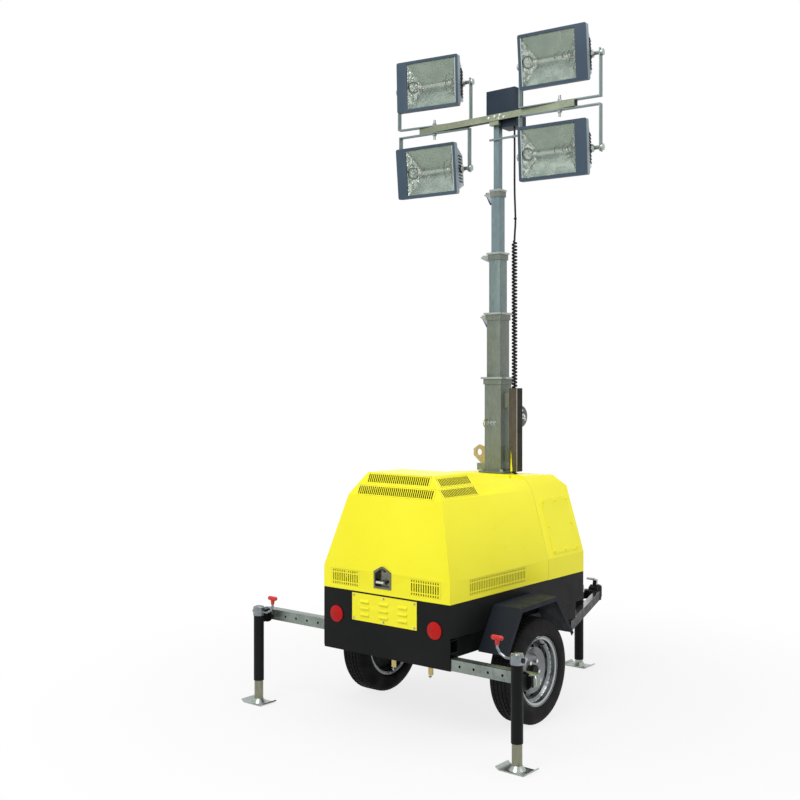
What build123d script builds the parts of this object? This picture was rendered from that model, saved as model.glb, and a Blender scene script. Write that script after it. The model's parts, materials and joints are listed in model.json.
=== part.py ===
from build123d import *
import math
import os

# Mobile light tower on a single-axle trailer, parked on three jacks.
# Millimetres, +Z up, ground at z 0. +Y is the towing direction, +X the kerb side.
# Lengths along Y are written from the middle of the body, and every piece is moved
# by SHIFT_Y when it is written out, so that the origin lies under the middle of the
# whole machine.

# Body: a black tub, and above it a yellow hood (rear) and a fixed cowl (front).
BODY_W = 890.0
BODY_L = 1384.0
SHEET = 4.0
TUB_FLOOR_Z = 555.0
SPLIT_Z = 730.0
BAND_Z = 852.5
CREASE_Z = 1254.0
CREASE_X = 332.0
CREASE_REAR_IN = 81.0
CREASE_FRONT_IN = 13.0
ROOF_Z = 1382.0
ROOF_X = 232.0
ROOF_REAR_IN = 135.0
ROOF_FLAT = 307.0
PARTING_IN = 412.0
PARTING_ROOF_Z = 1312.0
COWL_RISE = 23.0
COWL_ROOF_END_IN = 92.0
COWL_ROOF_END_Z = 1322.0
PANEL_GAP = 2.0
PANEL_IN = 202.0
PANEL_UP = -20.0
PANEL_SIZE = (290.0, 330.0)
ENGINE_SIZE = (480.0, 490.0)
ENGINE_Y = -185.0
ENGINE_TOP_Z = 1080.0
SKIRT_Z = 400.0

# Chassis and drawbar.
RAIL_IN = 85.0
RAIL_W = 60.0
RAIL_H = 125.0
RAIL_WALL = 4.0
RAIL_REAR_IN = 82.0
CROSS_W = 60.0
LEG_W = 40.0
LEG_H = 62.0
LEG_REAR_IN = (45.0, 112.0)
LEG_FRONT_X = 50.0
LEG_REACH = 888.0
LEG_WALL = 4.0
COUPLING_L = 120.0
COUPLING_Z = 420.0
COUPLING_HEAD_D = 80.0
BALL_BORE_D = 51.0
BALL_BORE_DEPTH = 30.0

# Axle and wheels.
WHEEL_Y = -75.0
TYRE_D = 585.0
TYRE_W = 165.0
TYRE_GAP = 5.0
RIM_D = 391.0
BEAD_D = 356.0
RIM_W = 140.0
RIM_FLANGE_T = 6.0
HUB_BORE_D = 40.0
STUB_CLEARANCE = 0.1
AXLE_AHEAD = 120.0
AXLE_TUBE = 70.0
AXLE_TUBE_Z = 390.0
LUG_COUNT = 5
LUG_CIRCLE_D = 112.0
RIM_HOLES = 10

# Mudguards: (y from the axle, z) of the bends of the outer skin, rear to front.
GUARD_OVER = 10.0
GUARD_SHEET = 3.0
GUARD_LIP = 26.0
GUARD_SHAPE = [(-365.0, 448.0), (-217.0, 676.0), (157.0, 686.0), (337.0, 452.0)]

# Outriggers: (side, name, height of the arm's middle).
OUTRIGGERS = [(1, "right", 422.0), (-1, "left", 512.0)]
ARM = 60.0
ARM_WALL = 4.0
ARM_IN_X = 80.0
ARM_REACH = 503.0
ARM_PLAY = 0.4
ARM_HOLES_IN = 139.0
ARM_HOLE_PITCH = 88.0
ARM_HOLE_D = 14.0
SLEEVE = 68.0
JACK_IN = 44.0
JACK_BACK = 111.0
JACK_TUBE_D = 60.0
JACK_WALL = 3.0
JACK_BORE_D = 52.6
JACK_LEG_D = 52.0
JACK_LEG_WALL = 3.0
JACK_BOTTOM_Z = 135.0
JACK_TOP_Z = 517.0
JACK_HEAD_H = 56.0
JACK_HEAD_OVER = 8.0
JACK_LEG_IN = 275.0
CRANK_UP = 22.0
CRANK_D = 13.0

# Bends of a crank rod: (x from the jack's axis, rise above the shaft).
CRANK_BENDS = [(-66.0, 0.0), (-100.0, 18.0), (-116.0, 42.0), (-116.0, 54.0)]
GRIP_L = 70.0
GRIP_D = 24.0
GRIP_STEM = 28.0
SWIVEL_D = 90.0
FOOT_W = 184.0
FOOT_D = 110.0
FOOT_T = 6.0
FOOT_LIP = 22.0
PIVOT_D = 24.0
PIVOT_PLAY = 0.2

# Front jack beside the right drawbar leg.
FRONT_JACK_X = 137.0
FRONT_JACK_AHEAD = 484.0
FRONT_LEG_IN = 380.0
FRONT_JACK_BOTTOM_Z = 45.0
FRONT_JACK_TOP_Z = 495.0

# Mast. Each section: (name, outside, wall, length, height of its top at rest).
MAST_IN = 279.0
SECTIONS = [
    ("mast_1", 120.0, 5.0, 1368.0, 1927.0),
    ("mast_2", 100.0, 4.0, 1440.0, 2326.0),
    ("mast_3", 80.0, 4.0, 1440.0, 2700.0),
    ("mast_4", 60.0, 4.0, 1440.0, 3092.0),
    ("mast_5", 40.0, 4.0, 1440.0, 3552.0),
]
COLLAR_T = 12.0

# Spring locks under the collars: how far they stand out, and how far their levers hang down.
LOCKS = {"mast_2": (64.0, 86.0), "mast_3": (70.0, 44.0), "mast_4": (54.0, 78.0)}
LOCK_W = 32.0
LOCK_CHEEK = 4.0
LOCK_HEAD_H = 24.0
LOCK_LEVER_W = 18.0
LOCK_PIN_D = 10.0
COLLAR_OVER = 1.3
COLLAR_BAND_H = 46.0
COLLAR_BAND_OVER = 12.0
SLIDE_PLAY = 0.3
MAST_FOOT = 190.0
MAST_FOOT_T = 10.0
ROOF_FLANGE = 176.0
ROOF_FLANGE_T = 10.0
EYE_HOLE_D = 40.0
EYE_T = 14.0
EYE_X = -118.0
EYE_Z = 1458.0

# Lamp bar and lamps. Yokes: (name, side, up or down, turn about +Z, tilt of the face downwards).
BAR_Z = 3530.0
BAR = 40.0
BAR_WALL = 3.0
BAR_LENGTH = 1150.0
BOLT_X = 466.0
LAMPS = [
    ("top_left", -1, 1, 10.0, 2.0),
    ("bottom_left", -1, -1, 6.0, 6.0),
    ("top_right", 1, 1, 6.0, 6.0),
    ("bottom_right", 1, -1, 6.0, 4.0),
]
YOKE_W = 40.0
YOKE_T = 6.0
YOKE_SPAN = 524.0
YOKE_REACH = 275.0
YOKE_TAIL = 24.0
STUD_D = 16.0
STUD_PLAY = 0.2
LAMP_W = 384.0
LAMP_H = 322.0
LAMP_FRONT = 108.0
LAMP_FRAME_D = 34.0
LAMP_BEZEL_W = 56.0
LAMP_BACK = 96.0
LAMP_CASE_IN = 3.0
LAMP_CASE_H = 270.0
LAMP_BACK_W = 316.0
LAMP_BACK_H = 190.0
LAMP_RIM = 18.0
LAMP_WALL = 3.0
REFLECTOR_DEPTH = 90.0
GLASS_T = 5.0
TRUNNION_D = 20.0
KNOB_D = 40.0
FIN_COUNT = 9
FIN_PITCH = 20.0
FIN_T = 5.0
FIN_OUT = 10.0
FIN_Y = (-52.0, 44.0)

# Winch on the front face of the mast's foot.
WINCH_Z = 1680.0
WINCH_W = 96.0
WINCH_FOOT_H = 150.0
WINCH_AXLE = 104.0
WINCH_DRUM_D = 100.0
WINCH_GEAR_D = 136.0
WINCH_GEAR_T = 22.0
WINCH_CRANK = 150.0

# Cable run.
TROUGH_X = 130.0
TROUGH = 60.0
TROUGH_WALL = 3.0
TROUGH_TOP_Z = 1858.0
CURLY_X = 122.0
CURLY_D = 36.0
CURLY_Z = (650.0, 2800.0)
CABLE_D = 14.0
CABLE_TOP_Z = 3470.0
BOX_X = (-106.0, 114.0)
BOX_Z = (3536.0, 3728.0)
BOX_D = 92.0
GLAND_D = 22.0
GLAND_L = 16.0
SUPPORT_BAR_Z = 3402.0
SUPPORT_BAR_X = (-45.0, 165.0)

# Rear: plate carrier, lamps, latch.
PLATE = (456.0, 151.0, 3.0)
LOUVRE_W = 62.0
LOUVRE_OUT = 8.0
LOUVRE_PITCH = (134.0, 36.0)
PLATE_Z = 647.0
TAIL_LAMP_D = 93.0
TAIL_LAMP_X = 346.0
TAIL_LAMP_Z = 588.0
TAIL_LAMP_T = 14.0
TAIL_LAMP_DOME = 8.0
LATCH_Z = (764.0, 885.0)
LATCH_W = 124.0
LATCH_X = -10.0
LATCH_PEAK = 28.0
LATCH_TIP = 8.0
LATCH_RIM = 9.0
LATCH_DEEP = 26.0

# Slots of the upper grilles and the lower vents: (width, pitch).
GRILLE_SLOT = (7.5, 14.0)
VENT_SLOT = (7.5, 16.0)
GRILLE_EDGE = 10.0
GRILLE_FRAME = 12.0

# Slotted bands of the upper slopes: (middle above the slope's own middle, height).
GRILLE_BANDS = [(-36.0, 60.0), (36.0, 60.0)]

# Slot rows of a lower vent: (middle above the vent's own middle, height), and its frame's height.
VENT_ROWS = [(-34.0, 11.0), (0.0, 44.0), (34.0, 11.0)]
VENT_Z = 798.0
VENT_H = 86.0

# Lower vents: (face, middle along it, length).
VENTS = [("rear", -283.0, 210.0), ("rear", 280.0, 210.0), ("right", -241.0, 552.0), ("left", -241.0, 552.0)]

# Hood hinges, on the roof behind the cowl's lip.
HINGE_X = (-140.0, 140.0)
HINGE_BACK = 14.0
HINGE_UP = 15.0
HINGE_PIN_D = 8.0

GAP = 0.3
ON_BASE = (Align.CENTER, Align.CENTER, Align.MIN)

REAR_Y = -BODY_L / 2
FRONT_Y = BODY_L / 2
SIDE_X = BODY_W / 2
ROOF_FLAT_END_Y = REAR_Y + ROOF_REAR_IN + ROOF_FLAT
PARTING_Y = FRONT_Y - PARTING_IN
COWL_ROOF_END_Y = FRONT_Y - COWL_ROOF_END_IN
RAIL_X = SIDE_X - RAIL_IN
RAIL_REAR_Y = REAR_Y + RAIL_REAR_IN
LEG_REAR = (SIDE_X - LEG_REAR_IN[0], FRONT_Y - LEG_REAR_IN[1])
LEG_FRONT = (LEG_FRONT_X, FRONT_Y + LEG_REACH)
COUPLING_TIP_Y = LEG_FRONT[1] + COUPLING_L
TYRE_X = SIDE_X + TYRE_GAP + TYRE_W / 2
GUARD_OUT_X = TYRE_X + TYRE_W / 2 + GUARD_OVER
GUARD_BENDS = [(WHEEL_Y + y, z) for y, z in GUARD_SHAPE]
ARM_Y = REAR_Y + SHEET + SLEEVE / 2
ARM_OUT_X = SIDE_X + ARM_REACH
JACK_X = ARM_OUT_X - JACK_IN
JACK_Y = ARM_Y - JACK_BACK
FRONT_JACK_Y = FRONT_Y + FRONT_JACK_AHEAD
MAST_Y = FRONT_Y - MAST_IN
RAIL_TOP_Z = TUB_FLOOR_Z
RAIL_BOTTOM_Z = RAIL_TOP_Z - RAIL_H
FOOT_REAR_Y = JACK_Y - FOOT_D / 2
SHIFT_Y = -(FOOT_REAR_Y + COUPLING_TIP_Y) / 2
BAR_Y = MAST_Y - SECTIONS[4][1] / 2 - BAR / 2


def block(x, y, z):
    """Box from three (low, high) pairs."""
    size = [high - low for low, high in (x, y, z)]
    middle = [(high + low) / 2 for low, high in (x, y, z)]
    return Pos(*middle) * Box(*size)


def around(middle, size):
    """(low, high) pair of a length about its middle."""
    return (middle - size / 2, middle + size / 2)


def rod(start, end, diameter, bore=0.0):
    """Round bar, or tube, between two points."""
    along = Vector(*end) - Vector(*start)
    plane = Plane(origin=start, z_dir=along)
    face = Circle(diameter / 2)
    if bore:
        face -= Circle(bore / 2)
    return extrude(plane * face, along.length)


def square_tube(size, wall, length):
    """Square tube along +Z from z 0, centred on the axis."""
    outer = Pos(0, 0, length / 2) * Box(size, size, length)
    inner = Pos(0, 0, length / 2) * Box(size - 2 * wall, size - 2 * wall, length + 2)
    return outer - inner


def outline_face(points, plane):
    """Flat face on a plane, from the (u, v) corners of its outline."""
    return plane * make_face(Polyline(*points, close=True).edges())


def mirror_x(shape):
    return mirror(shape, about=Plane.YZ)


def write(name, *shapes):
    """Write one piece, moved so that the origin lies under the whole machine."""
    solids = [solid for shape in shapes for solid in shape.solids()]
    whole = solids[0] if len(solids) == 1 else Compound(children=solids)
    export_step(Pos(0, SHIFT_Y, 0) * whole, "parts/" + name + ".step")


# Body form: a cross-section drawn on XZ, met by a side profile drawn on YZ.

def cross_section(inset, low_z):
    slope = (SIDE_X - CREASE_X) / (CREASE_Z - BAND_Z)
    top_slope = (CREASE_X - ROOF_X) / (ROOF_Z - CREASE_Z)
    high_z = ROOF_Z + 40
    side_shift = inset * math.hypot(1, slope)
    top_shift = inset * math.hypot(1, top_slope)
    crease_z = CREASE_Z - (side_shift - top_shift) / (slope - top_slope)
    crease_x = CREASE_X + slope * (CREASE_Z - crease_z) - side_shift
    band_x = SIDE_X - inset
    band_z = BAND_Z - (side_shift - inset) / slope
    roof_x = ROOF_X - top_slope * (high_z - ROOF_Z) - top_shift
    right = [(band_x, low_z), (band_x, band_z), (crease_x, crease_z), (roof_x, high_z)]
    left = [(-x, z) for x, z in reversed(right)]
    return right + left


def prism_y(points, y0, y1):
    """Extrusion along +Y of an outline given as (x, z) corners."""
    plane = Plane(origin=(0, y0, 0), x_dir=(1, 0, 0), z_dir=(0, -1, 0))
    return extrude(outline_face(points, plane), -(y1 - y0))


def prism_x(points, x0, x1):
    """Extrusion along +X of an outline given as (y, z) corners."""
    plane = Plane(origin=(x0, 0, 0), x_dir=(0, 1, 0), z_dir=(1, 0, 0))
    return extrude(outline_face(points, plane), x1 - x0)


def hood_profile(inset, low_z, front_y):
    ramp = (ROOF_Z - PARTING_ROOF_Z) / (PARTING_Y - ROOF_FLAT_END_Y)
    steep = (CREASE_REAR_IN) / (CREASE_Z - BAND_Z)
    top = (ROOF_REAR_IN - CREASE_REAR_IN) / (ROOF_Z - CREASE_Z)
    steep_shift = inset * math.hypot(1, steep)
    top_shift = inset * math.hypot(1, top)
    roof_z = ROOF_Z - inset
    band_z = BAND_Z + (steep_shift - inset) / steep
    crease_z = CREASE_Z - (top_shift - steep_shift) / (top - steep)
    return [
        (REAR_Y + inset, low_z),
        (REAR_Y + inset, band_z),
        (REAR_Y + steep * (crease_z - BAND_Z) + steep_shift, crease_z),
        (REAR_Y + CREASE_REAR_IN + top * (roof_z - CREASE_Z) + top_shift, roof_z),
        (ROOF_FLAT_END_Y, roof_z),
        (front_y, roof_z - ramp * (front_y - ROOF_FLAT_END_Y)),
        (front_y, low_z),
    ]


def cowl_profile(inset, low_z, rear_y):
    rear_roof_z = PARTING_ROOF_Z + COWL_RISE - inset
    end_z = COWL_ROOF_END_Z - inset
    return [
        (rear_y, low_z),
        (rear_y, rear_roof_z),
        (COWL_ROOF_END_Y - inset / 2, end_z),
        (FRONT_Y - CREASE_FRONT_IN - inset, CREASE_Z - inset / 2),
        (FRONT_Y - inset, BAND_Z),
        (FRONT_Y - inset, low_z),
    ]


def body_solid(section_inset, profile, low_z):
    y_values = [y for y, z in profile]
    section = prism_y(cross_section(section_inset, low_z), min(y_values) - 1, max(y_values) + 1)
    return section & prism_x(profile, -BODY_W, BODY_W)


def side_slope_plane(side, upper):
    """Plane on the outside of a side slope: origin on its middle, x along +Y, y up the slope."""
    if upper:
        low, high = (CREASE_X, CREASE_Z), (ROOF_X, ROOF_Z)
    else:
        low, high = (SIDE_X, BAND_Z), (CREASE_X, CREASE_Z)
    x_mid, z_mid = (low[0] + high[0]) / 2, (low[1] + high[1]) / 2
    normal = (side * (high[1] - low[1]), 0, low[0] - high[0])
    return Plane(origin=(side * x_mid, 0, z_mid), x_dir=(0, side, 0), z_dir=normal)


def rear_slope_plane():
    """Plane on the outside of the upper rear slope, x along +X."""
    low = (REAR_Y + CREASE_REAR_IN, CREASE_Z)
    high = (REAR_Y + ROOF_REAR_IN, ROOF_Z)
    middle = ((low[0] + high[0]) / 2, (low[1] + high[1]) / 2)
    normal = (0, -(high[1] - low[1]), high[0] - low[0])
    return Plane(origin=(0, *middle), x_dir=(1, 0, 0), z_dir=normal)


def slope_half_width(z):
    """Half the body's width at a height on its upper slopes."""
    return CREASE_X - (z - CREASE_Z) * (CREASE_X - ROOF_X) / (ROOF_Z - CREASE_Z)


def slotted_bands():
    """Windows of the upper slopes: (plane, middle, length, height, slot rows, slot)."""
    bands = []
    rear = rear_slope_plane()
    for offset, height in GRILLE_BANDS:
        rows = [(0.0, height - GRILLE_FRAME)]
        top = rear.from_local_coords(Vector(0, offset + height / 2, 0))
        half = slope_half_width(top.Z) - GRILLE_EDGE
        bands.append((rear, (0.0, offset), 2 * half, height, rows, GRILLE_SLOT))
        rear_end = top.Y + GRILLE_EDGE
        middle = (rear_end + ROOF_FLAT_END_Y) / 2
        for side in (1, -1):
            plane = side_slope_plane(side, True)
            length = ROOF_FLAT_END_Y - rear_end
            bands.append((plane, (side * middle, offset), length, height, rows, GRILLE_SLOT))
    return bands


def vent_bands():
    """Windows of the lower vents: (plane, middle, length, height, slot rows, slot)."""
    faces = {
        "rear": (Plane(origin=(0, REAR_Y, 0), x_dir=(1, 0, 0), z_dir=(0, -1, 0)), 1),
        "right": (Plane(origin=(SIDE_X, 0, 0), x_dir=(0, 1, 0), z_dir=(1, 0, 0)), 1),
        "left": (Plane(origin=(-SIDE_X, 0, 0), x_dir=(0, -1, 0), z_dir=(-1, 0, 0)), -1),
    }
    bands = []
    for face, middle, length in VENTS:
        plane, way = faces[face]
        bands.append((plane, (way * middle, VENT_Z), length, VENT_H, VENT_ROWS, VENT_SLOT))
    return bands


def band_window(band):
    plane, middle, length, height, rows, slot = band
    face = Pos(*middle) * Rectangle(length, height)
    return extrude(plane * face, 30, both=True)


def band_grille(band):
    """Sheet with its slot rows punched, filling a window."""
    plane, middle, length, height, rows, (slot_w, pitch) = band
    count = int((length - pitch / 2) // pitch)
    first = -(count - 1) * pitch / 2
    outline = Rectangle(length - 2 * GAP, height - 2 * GAP).wire()
    slots = []
    for offset, slot_h in rows:
        slot = Rectangle(slot_w, slot_h).wire()
        slots += [Pos(first + index * pitch, offset) * slot for index in range(count)]
    face = Pos(*middle) * Face(outline, slots)
    return extrude(plane * face, -SHEET)


def make_hood():
    low = SPLIT_Z + PANEL_GAP / 2
    front = PARTING_Y - PANEL_GAP
    outer = body_solid(0, hood_profile(0, low, front), low)
    inner = body_solid(SHEET, hood_profile(SHEET, low - 10, front + 10), low - 10)
    shell = outer - inner
    for band in slotted_bands() + vent_bands():
        shell -= band_window(band)
    return shell - prism_y(latch_outline(LATCH_RIM), REAR_Y - 10, REAR_Y + LATCH_DEEP + 10)


def make_cowl():
    low = SPLIT_Z
    outer = body_solid(0, cowl_profile(0, low, PARTING_Y), low)
    inner = body_solid(SHEET, cowl_profile(SHEET, low - 10, PARTING_Y - 10), low - 10)
    shell = outer - inner
    lip_low = PARTING_ROOF_Z - SHEET
    lip = block((-ROOF_X, ROOF_X), (PARTING_Y, PARTING_Y + SHEET), (lip_low, PARTING_ROOF_Z + COWL_RISE))
    shell += lip & outer
    mast_hole = SECTIONS[0][1] + 2
    shell -= block(around(0, mast_hole), around(MAST_Y, mast_hole), (CREASE_Z, ROOF_Z))
    shell -= rod((CURLY_X, MAST_Y, CREASE_Z), (CURLY_X, MAST_Y, ROOF_Z), CURLY_D + 8)
    return shell


def make_tub():
    outer = block((-SIDE_X, SIDE_X), (REAR_Y, FRONT_Y), (TUB_FLOOR_Z, SPLIT_Z))
    inner = block(
        (-SIDE_X + SHEET, SIDE_X - SHEET),
        (REAR_Y + SHEET, FRONT_Y - SHEET),
        (TUB_FLOOR_Z + SHEET, SPLIT_Z + 1),
    )
    tub = outer - inner
    tub += block((-SIDE_X, SIDE_X), (REAR_Y, REAR_Y + SHEET), (SKIRT_Z, TUB_FLOOR_Z + 1))
    return tub


def make_rails():
    wall = RAIL_WALL
    rail = block(around(RAIL_X, RAIL_W), (RAIL_REAR_Y, FRONT_Y), (RAIL_BOTTOM_Z, RAIL_TOP_Z))
    rail -= block(
        around(RAIL_X, RAIL_W - 2 * wall),
        (RAIL_REAR_Y - 1, FRONT_Y + 1),
        (RAIL_BOTTOM_Z + wall, RAIL_TOP_Z - wall),
    )
    return rail, mirror_x(rail)


def make_crossmembers():
    inner = RAIL_X - RAIL_W / 2
    wall = RAIL_WALL
    places = (FRONT_Y - CROSS_W / 2, WHEEL_Y + AXLE_AHEAD + 150, -330.0)
    members = []
    for y in places:
        member = block((-inner, inner), around(y, CROSS_W), (RAIL_BOTTOM_Z, RAIL_TOP_Z))
        members.append(member - block(
            (-inner - 1, inner + 1), around(y, CROSS_W - 2 * wall), (RAIL_BOTTOM_Z + wall, RAIL_TOP_Z - wall)
        ))
    return members


def make_sleeves():
    bore = ARM + 2 * ARM_PLAY
    sleeves = []
    for side, name, z in OUTRIGGERS:
        outer = block((-SIDE_X, SIDE_X), around(ARM_Y, SLEEVE), around(z, SLEEVE))
        sleeves.append(outer - block((-SIDE_X - 1, SIDE_X + 1), around(ARM_Y, bore), around(z, bore)))
    return sleeves


def make_drawbar_leg(side):
    start, end = Vector(*LEG_REAR), Vector(*LEG_FRONT)
    along = end - start
    plane = Plane(
        origin=(side * start.X, start.Y, RAIL_BOTTOM_Z - LEG_H / 2),
        x_dir=(0, 0, 1),
        z_dir=(side * along.X, along.Y, 0),
    )
    face = Rectangle(LEG_H, LEG_W) - Rectangle(LEG_H - 2 * LEG_WALL, LEG_W - 2 * LEG_WALL)
    return extrude(plane * face, along.length)


def make_coupling():
    """Pressed coupling: heel between the legs, tapering neck, ball head and a hand lever on top."""
    low, high = COUPLING_Z - 45, COUPLING_Z + 45
    leg_end = LEG_FRONT[1]
    slant = (LEG_REAR[0] - LEG_FRONT[0]) / (LEG_FRONT[1] - LEG_REAR[1])
    edge_x = LEG_FRONT[0] + LEG_W / 2
    heel_y = leg_end + GAP - LEG_FRONT[0] * slant
    head_y = COUPLING_TIP_Y - COUPLING_HEAD_D / 2
    plan = [(-edge_x, heel_y + edge_x * slant), (0, heel_y), (edge_x, heel_y + edge_x * slant),
            (edge_x, leg_end + 26), (45, leg_end + 46), (-45, leg_end + 46), (-edge_x, leg_end + 26)]
    heel_low = RAIL_BOTTOM_Z - LEG_H
    body = Pos(0, 0, heel_low) * extrude(outline_face(plan, Plane.XY), LEG_H)
    neck_side = [(leg_end + 30, low + 10), (leg_end + 30, high - 22),
                 (head_y - 20, high - 4), (head_y, high - 8),
                 (head_y, low)]
    body += prism_x(neck_side, -34, 34)
    body += rod((0, head_y, low), (0, head_y, high - 20), COUPLING_HEAD_D)
    body += Pos(0, head_y, high - 20) * scale(Sphere(COUPLING_HEAD_D / 2), (1, 1, 0.45))
    body -= rod((0, head_y, low - 1), (0, head_y, low + BALL_BORE_DEPTH), BALL_BORE_D)
    body -= Pos(0, head_y, low + BALL_BORE_DEPTH) * Sphere(BALL_BORE_D / 2)
    lever = [(leg_end + 50, high - 24), (leg_end + 60, high + 26),
             (leg_end + 2, high + 44), (leg_end + 4, high + 52),
             (leg_end + 76, high + 34), (head_y - 8, high - 14)]
    grip = rod((-30, leg_end + 4, high + 46), (30, leg_end + 4, high + 46), 16)
    return body + prism_x(lever, -15, 15) + grip


def make_axle():
    beam_y = WHEEL_Y + AXLE_AHEAD
    beam_x = RAIL_X + RAIL_W / 2 - 18
    arm_x = (beam_x, beam_x + 24)
    hub_z = TYRE_D / 2
    beam = block((-beam_x, beam_x), around(beam_y, AXLE_TUBE), around(AXLE_TUBE_Z, AXLE_TUBE))
    half = AXLE_TUBE / 2
    arm = prism_x(
        [
            (beam_y + half, AXLE_TUBE_Z + half),
            (beam_y - half, AXLE_TUBE_Z + half),
            (WHEEL_Y - 30, hub_z + 20),
            (WHEEL_Y - 30, hub_z - 30),
            (WHEEL_Y + 30, hub_z - 30),
            (beam_y + half, AXLE_TUBE_Z - half),
        ],
        *arm_x,
    )
    stub_end = TYRE_X + 20
    stub = rod((arm_x[1], WHEEL_Y, hub_z), (stub_end, WHEEL_Y, hub_z), HUB_BORE_D - 2 * STUB_CLEARANCE)
    pads = block(around(RAIL_X, RAIL_W), around(beam_y, 110), (AXLE_TUBE_Z + half, RAIL_BOTTOM_Z))
    axle = beam
    for piece in (arm, stub, pads):
        axle = axle + piece + mirror_x(piece)
    return axle


def make_rim():
    """Steel rim and dish about +Z through the origin, the open face up."""
    edge, seat, w = RIM_D / 2, BEAD_D / 2, RIM_W / 2
    r = seat - 8
    lip = w - RIM_FLANGE_T
    outer_half = [(edge, w), (edge, lip), (seat, lip), (seat, w - 28), (r - 10, w - 40)]
    inner_half = [(r - 14, w - 42), (seat - 5, w - 30), (seat - 5, w - 6), (edge - 4, w)]
    profile = outer_half + [(x, -z) for x, z in reversed(outer_half)]
    profile += [(x, -z) for x, z in reversed(inner_half)] + inner_half
    barrel = revolve(Plane.XZ * make_face(Polyline(*profile, close=True).edges()), Axis.Z)
    dish_profile = [
        (HUB_BORE_D / 2, 22), (78, 22), (96, 6), (126, 30), (r - 12, 8),
        (r - 12, 3), (126, 24), (96, 0), (78, 16), (HUB_BORE_D / 2, -34),
    ]
    dish = revolve(Plane.XZ * make_face(Polyline(*dish_profile, close=True).edges()), Axis.Z)
    hole = Pos(138, 0, 0) * extrude(SlotOverall(34, 22, rotation=90), 60, both=True)
    for turn in range(RIM_HOLES):
        dish -= Rot(0, 0, turn * 360 / RIM_HOLES) * hole
    nut = extrude(RegularPolygon(11, 6), 16)
    rim = barrel + dish
    for turn in range(LUG_COUNT):
        rim += Rot(0, 0, turn * 360 / LUG_COUNT) * Pos(LUG_CIRCLE_D / 2, 0, 21) * nut
    return rim + Pos(0, 0, 21) * Cylinder(30, 26, align=(Align.CENTER, Align.CENTER, Align.MIN))


def make_tyre():
    """Tyre about +Z through the origin."""
    outer, inner, w = TYRE_D / 2, BEAD_D / 2 + GAP, TYRE_W / 2
    bead = RIM_W / 2 - RIM_FLANGE_T - GAP
    lip = RIM_D / 2 + GAP
    with BuildPart() as tyre:
        with BuildSketch(Plane.XZ) as sketch:
            with BuildLine():
                Polyline((inner, -bead), (inner, bead), (lip, bead), (lip + 2, bead + 8))
                ThreePointArc((lip + 2, bead + 8), (lip + 36, w), (outer - 14, w - 12))
                Polyline((outer - 14, w - 12), (outer, w - 30), (outer, 30 - w), (outer - 14, 12 - w))
                ThreePointArc((outer - 14, 12 - w), (lip + 36, -w), (lip + 2, -bead - 8))
                Polyline((lip + 2, -bead - 8), (lip, -bead), (inner, -bead))
            make_face()
        revolve(axis=Axis.Z)
    return tyre.part


def make_wheel(side, maker):
    turn = 90 * side
    return Pos(side * TYRE_X, WHEEL_Y, TYRE_D / 2) * Rot(0, turn, 0) * maker()


def inset_path(points, depth):
    """Open line of (y, z) points moved to its right by depth, with mitred corners."""
    moved = []
    for index, point in enumerate(points):
        here = Vector(*point)
        before = Vector(*points[max(index - 1, 0)])
        after = Vector(*points[min(index + 1, len(points) - 1)])
        steps = [step.normalized() for step in (here - before, after - here) if step.length > 0]
        normals = [Vector(step.Y, -step.X) for step in steps]
        bisector = (normals[0] + normals[-1]).normalized()
        moved.append(here + bisector * (depth / bisector.dot(normals[0])))
    return [(v.X, v.Y) for v in moved]


def make_mudguard(side):
    skin = GUARD_BENDS + inset_path(GUARD_BENDS, GUARD_SHEET)[::-1]
    lip = GUARD_BENDS + inset_path(GUARD_BENDS, GUARD_LIP)[::-1]
    guard = prism_x(skin, SIDE_X + GAP, GUARD_OUT_X)
    guard += prism_x(lip, GUARD_OUT_X - GUARD_SHEET, GUARD_OUT_X)
    return guard if side > 0 else mirror_x(guard)


def make_arm(side, z):
    inner_x, outer_x = ARM_IN_X, ARM_OUT_X
    arm = block((inner_x, outer_x), around(ARM_Y, ARM), around(z, ARM))
    hollow = ARM - 2 * ARM_WALL
    arm -= block((inner_x - 1, outer_x - 6), around(ARM_Y, hollow), around(z, hollow))
    for index in range(7):
        x = JACK_X - ARM_HOLES_IN - index * ARM_HOLE_PITCH
        if x > ARM_IN_X + 60:
            arm -= rod((x, ARM_Y - ARM, z), (x, ARM_Y + ARM, z), ARM_HOLE_D)
    rear = ARM_Y - ARM / 2
    arm += rod((JACK_X, rear + 2, z), (JACK_X, rear - 10, z), 70)
    pin_end_y = JACK_Y + (JACK_TUBE_D + JACK_HEAD_OVER) / 2 + 2
    arm += rod((JACK_X, rear - 8, z), (JACK_X, pin_end_y, z), PIVOT_D)
    return arm if side > 0 else mirror_x(arm)


def jack_tube(top, bottom):
    tube = rod((0, 0, bottom), (0, 0, top), JACK_TUBE_D, JACK_TUBE_D - 2 * JACK_WALL)
    tube += rod((0, 0, bottom), (0, 0, bottom + 30), JACK_TUBE_D - 4, JACK_BORE_D)
    head = rod((0, 0, top), (0, 0, top + JACK_HEAD_H - 10), JACK_TUBE_D + JACK_HEAD_OVER)
    dome = JACK_TUBE_D / 2 - 4
    head += Pos(0, 0, top + JACK_HEAD_H - 10) * Cone(dome + 4, dome - 8, 10, align=ON_BASE)
    return tube + head


def jack_crank(top, way=1):
    """Crank rod of a jack on its axis: out towards -X, then bent up or down to its end."""
    places = [Vector(x, 0, top + CRANK_UP + way * rise) for x, rise in [(-JACK_TUBE_D / 2, 0.0)] + CRANK_BENDS]
    crank = rod(places[0], places[1], CRANK_D)
    for start, end in zip(places[1:], places[2:]):
        crank += rod(start, end, CRANK_D) + Pos(*start) * Sphere(CRANK_D / 2)
    return crank


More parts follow.
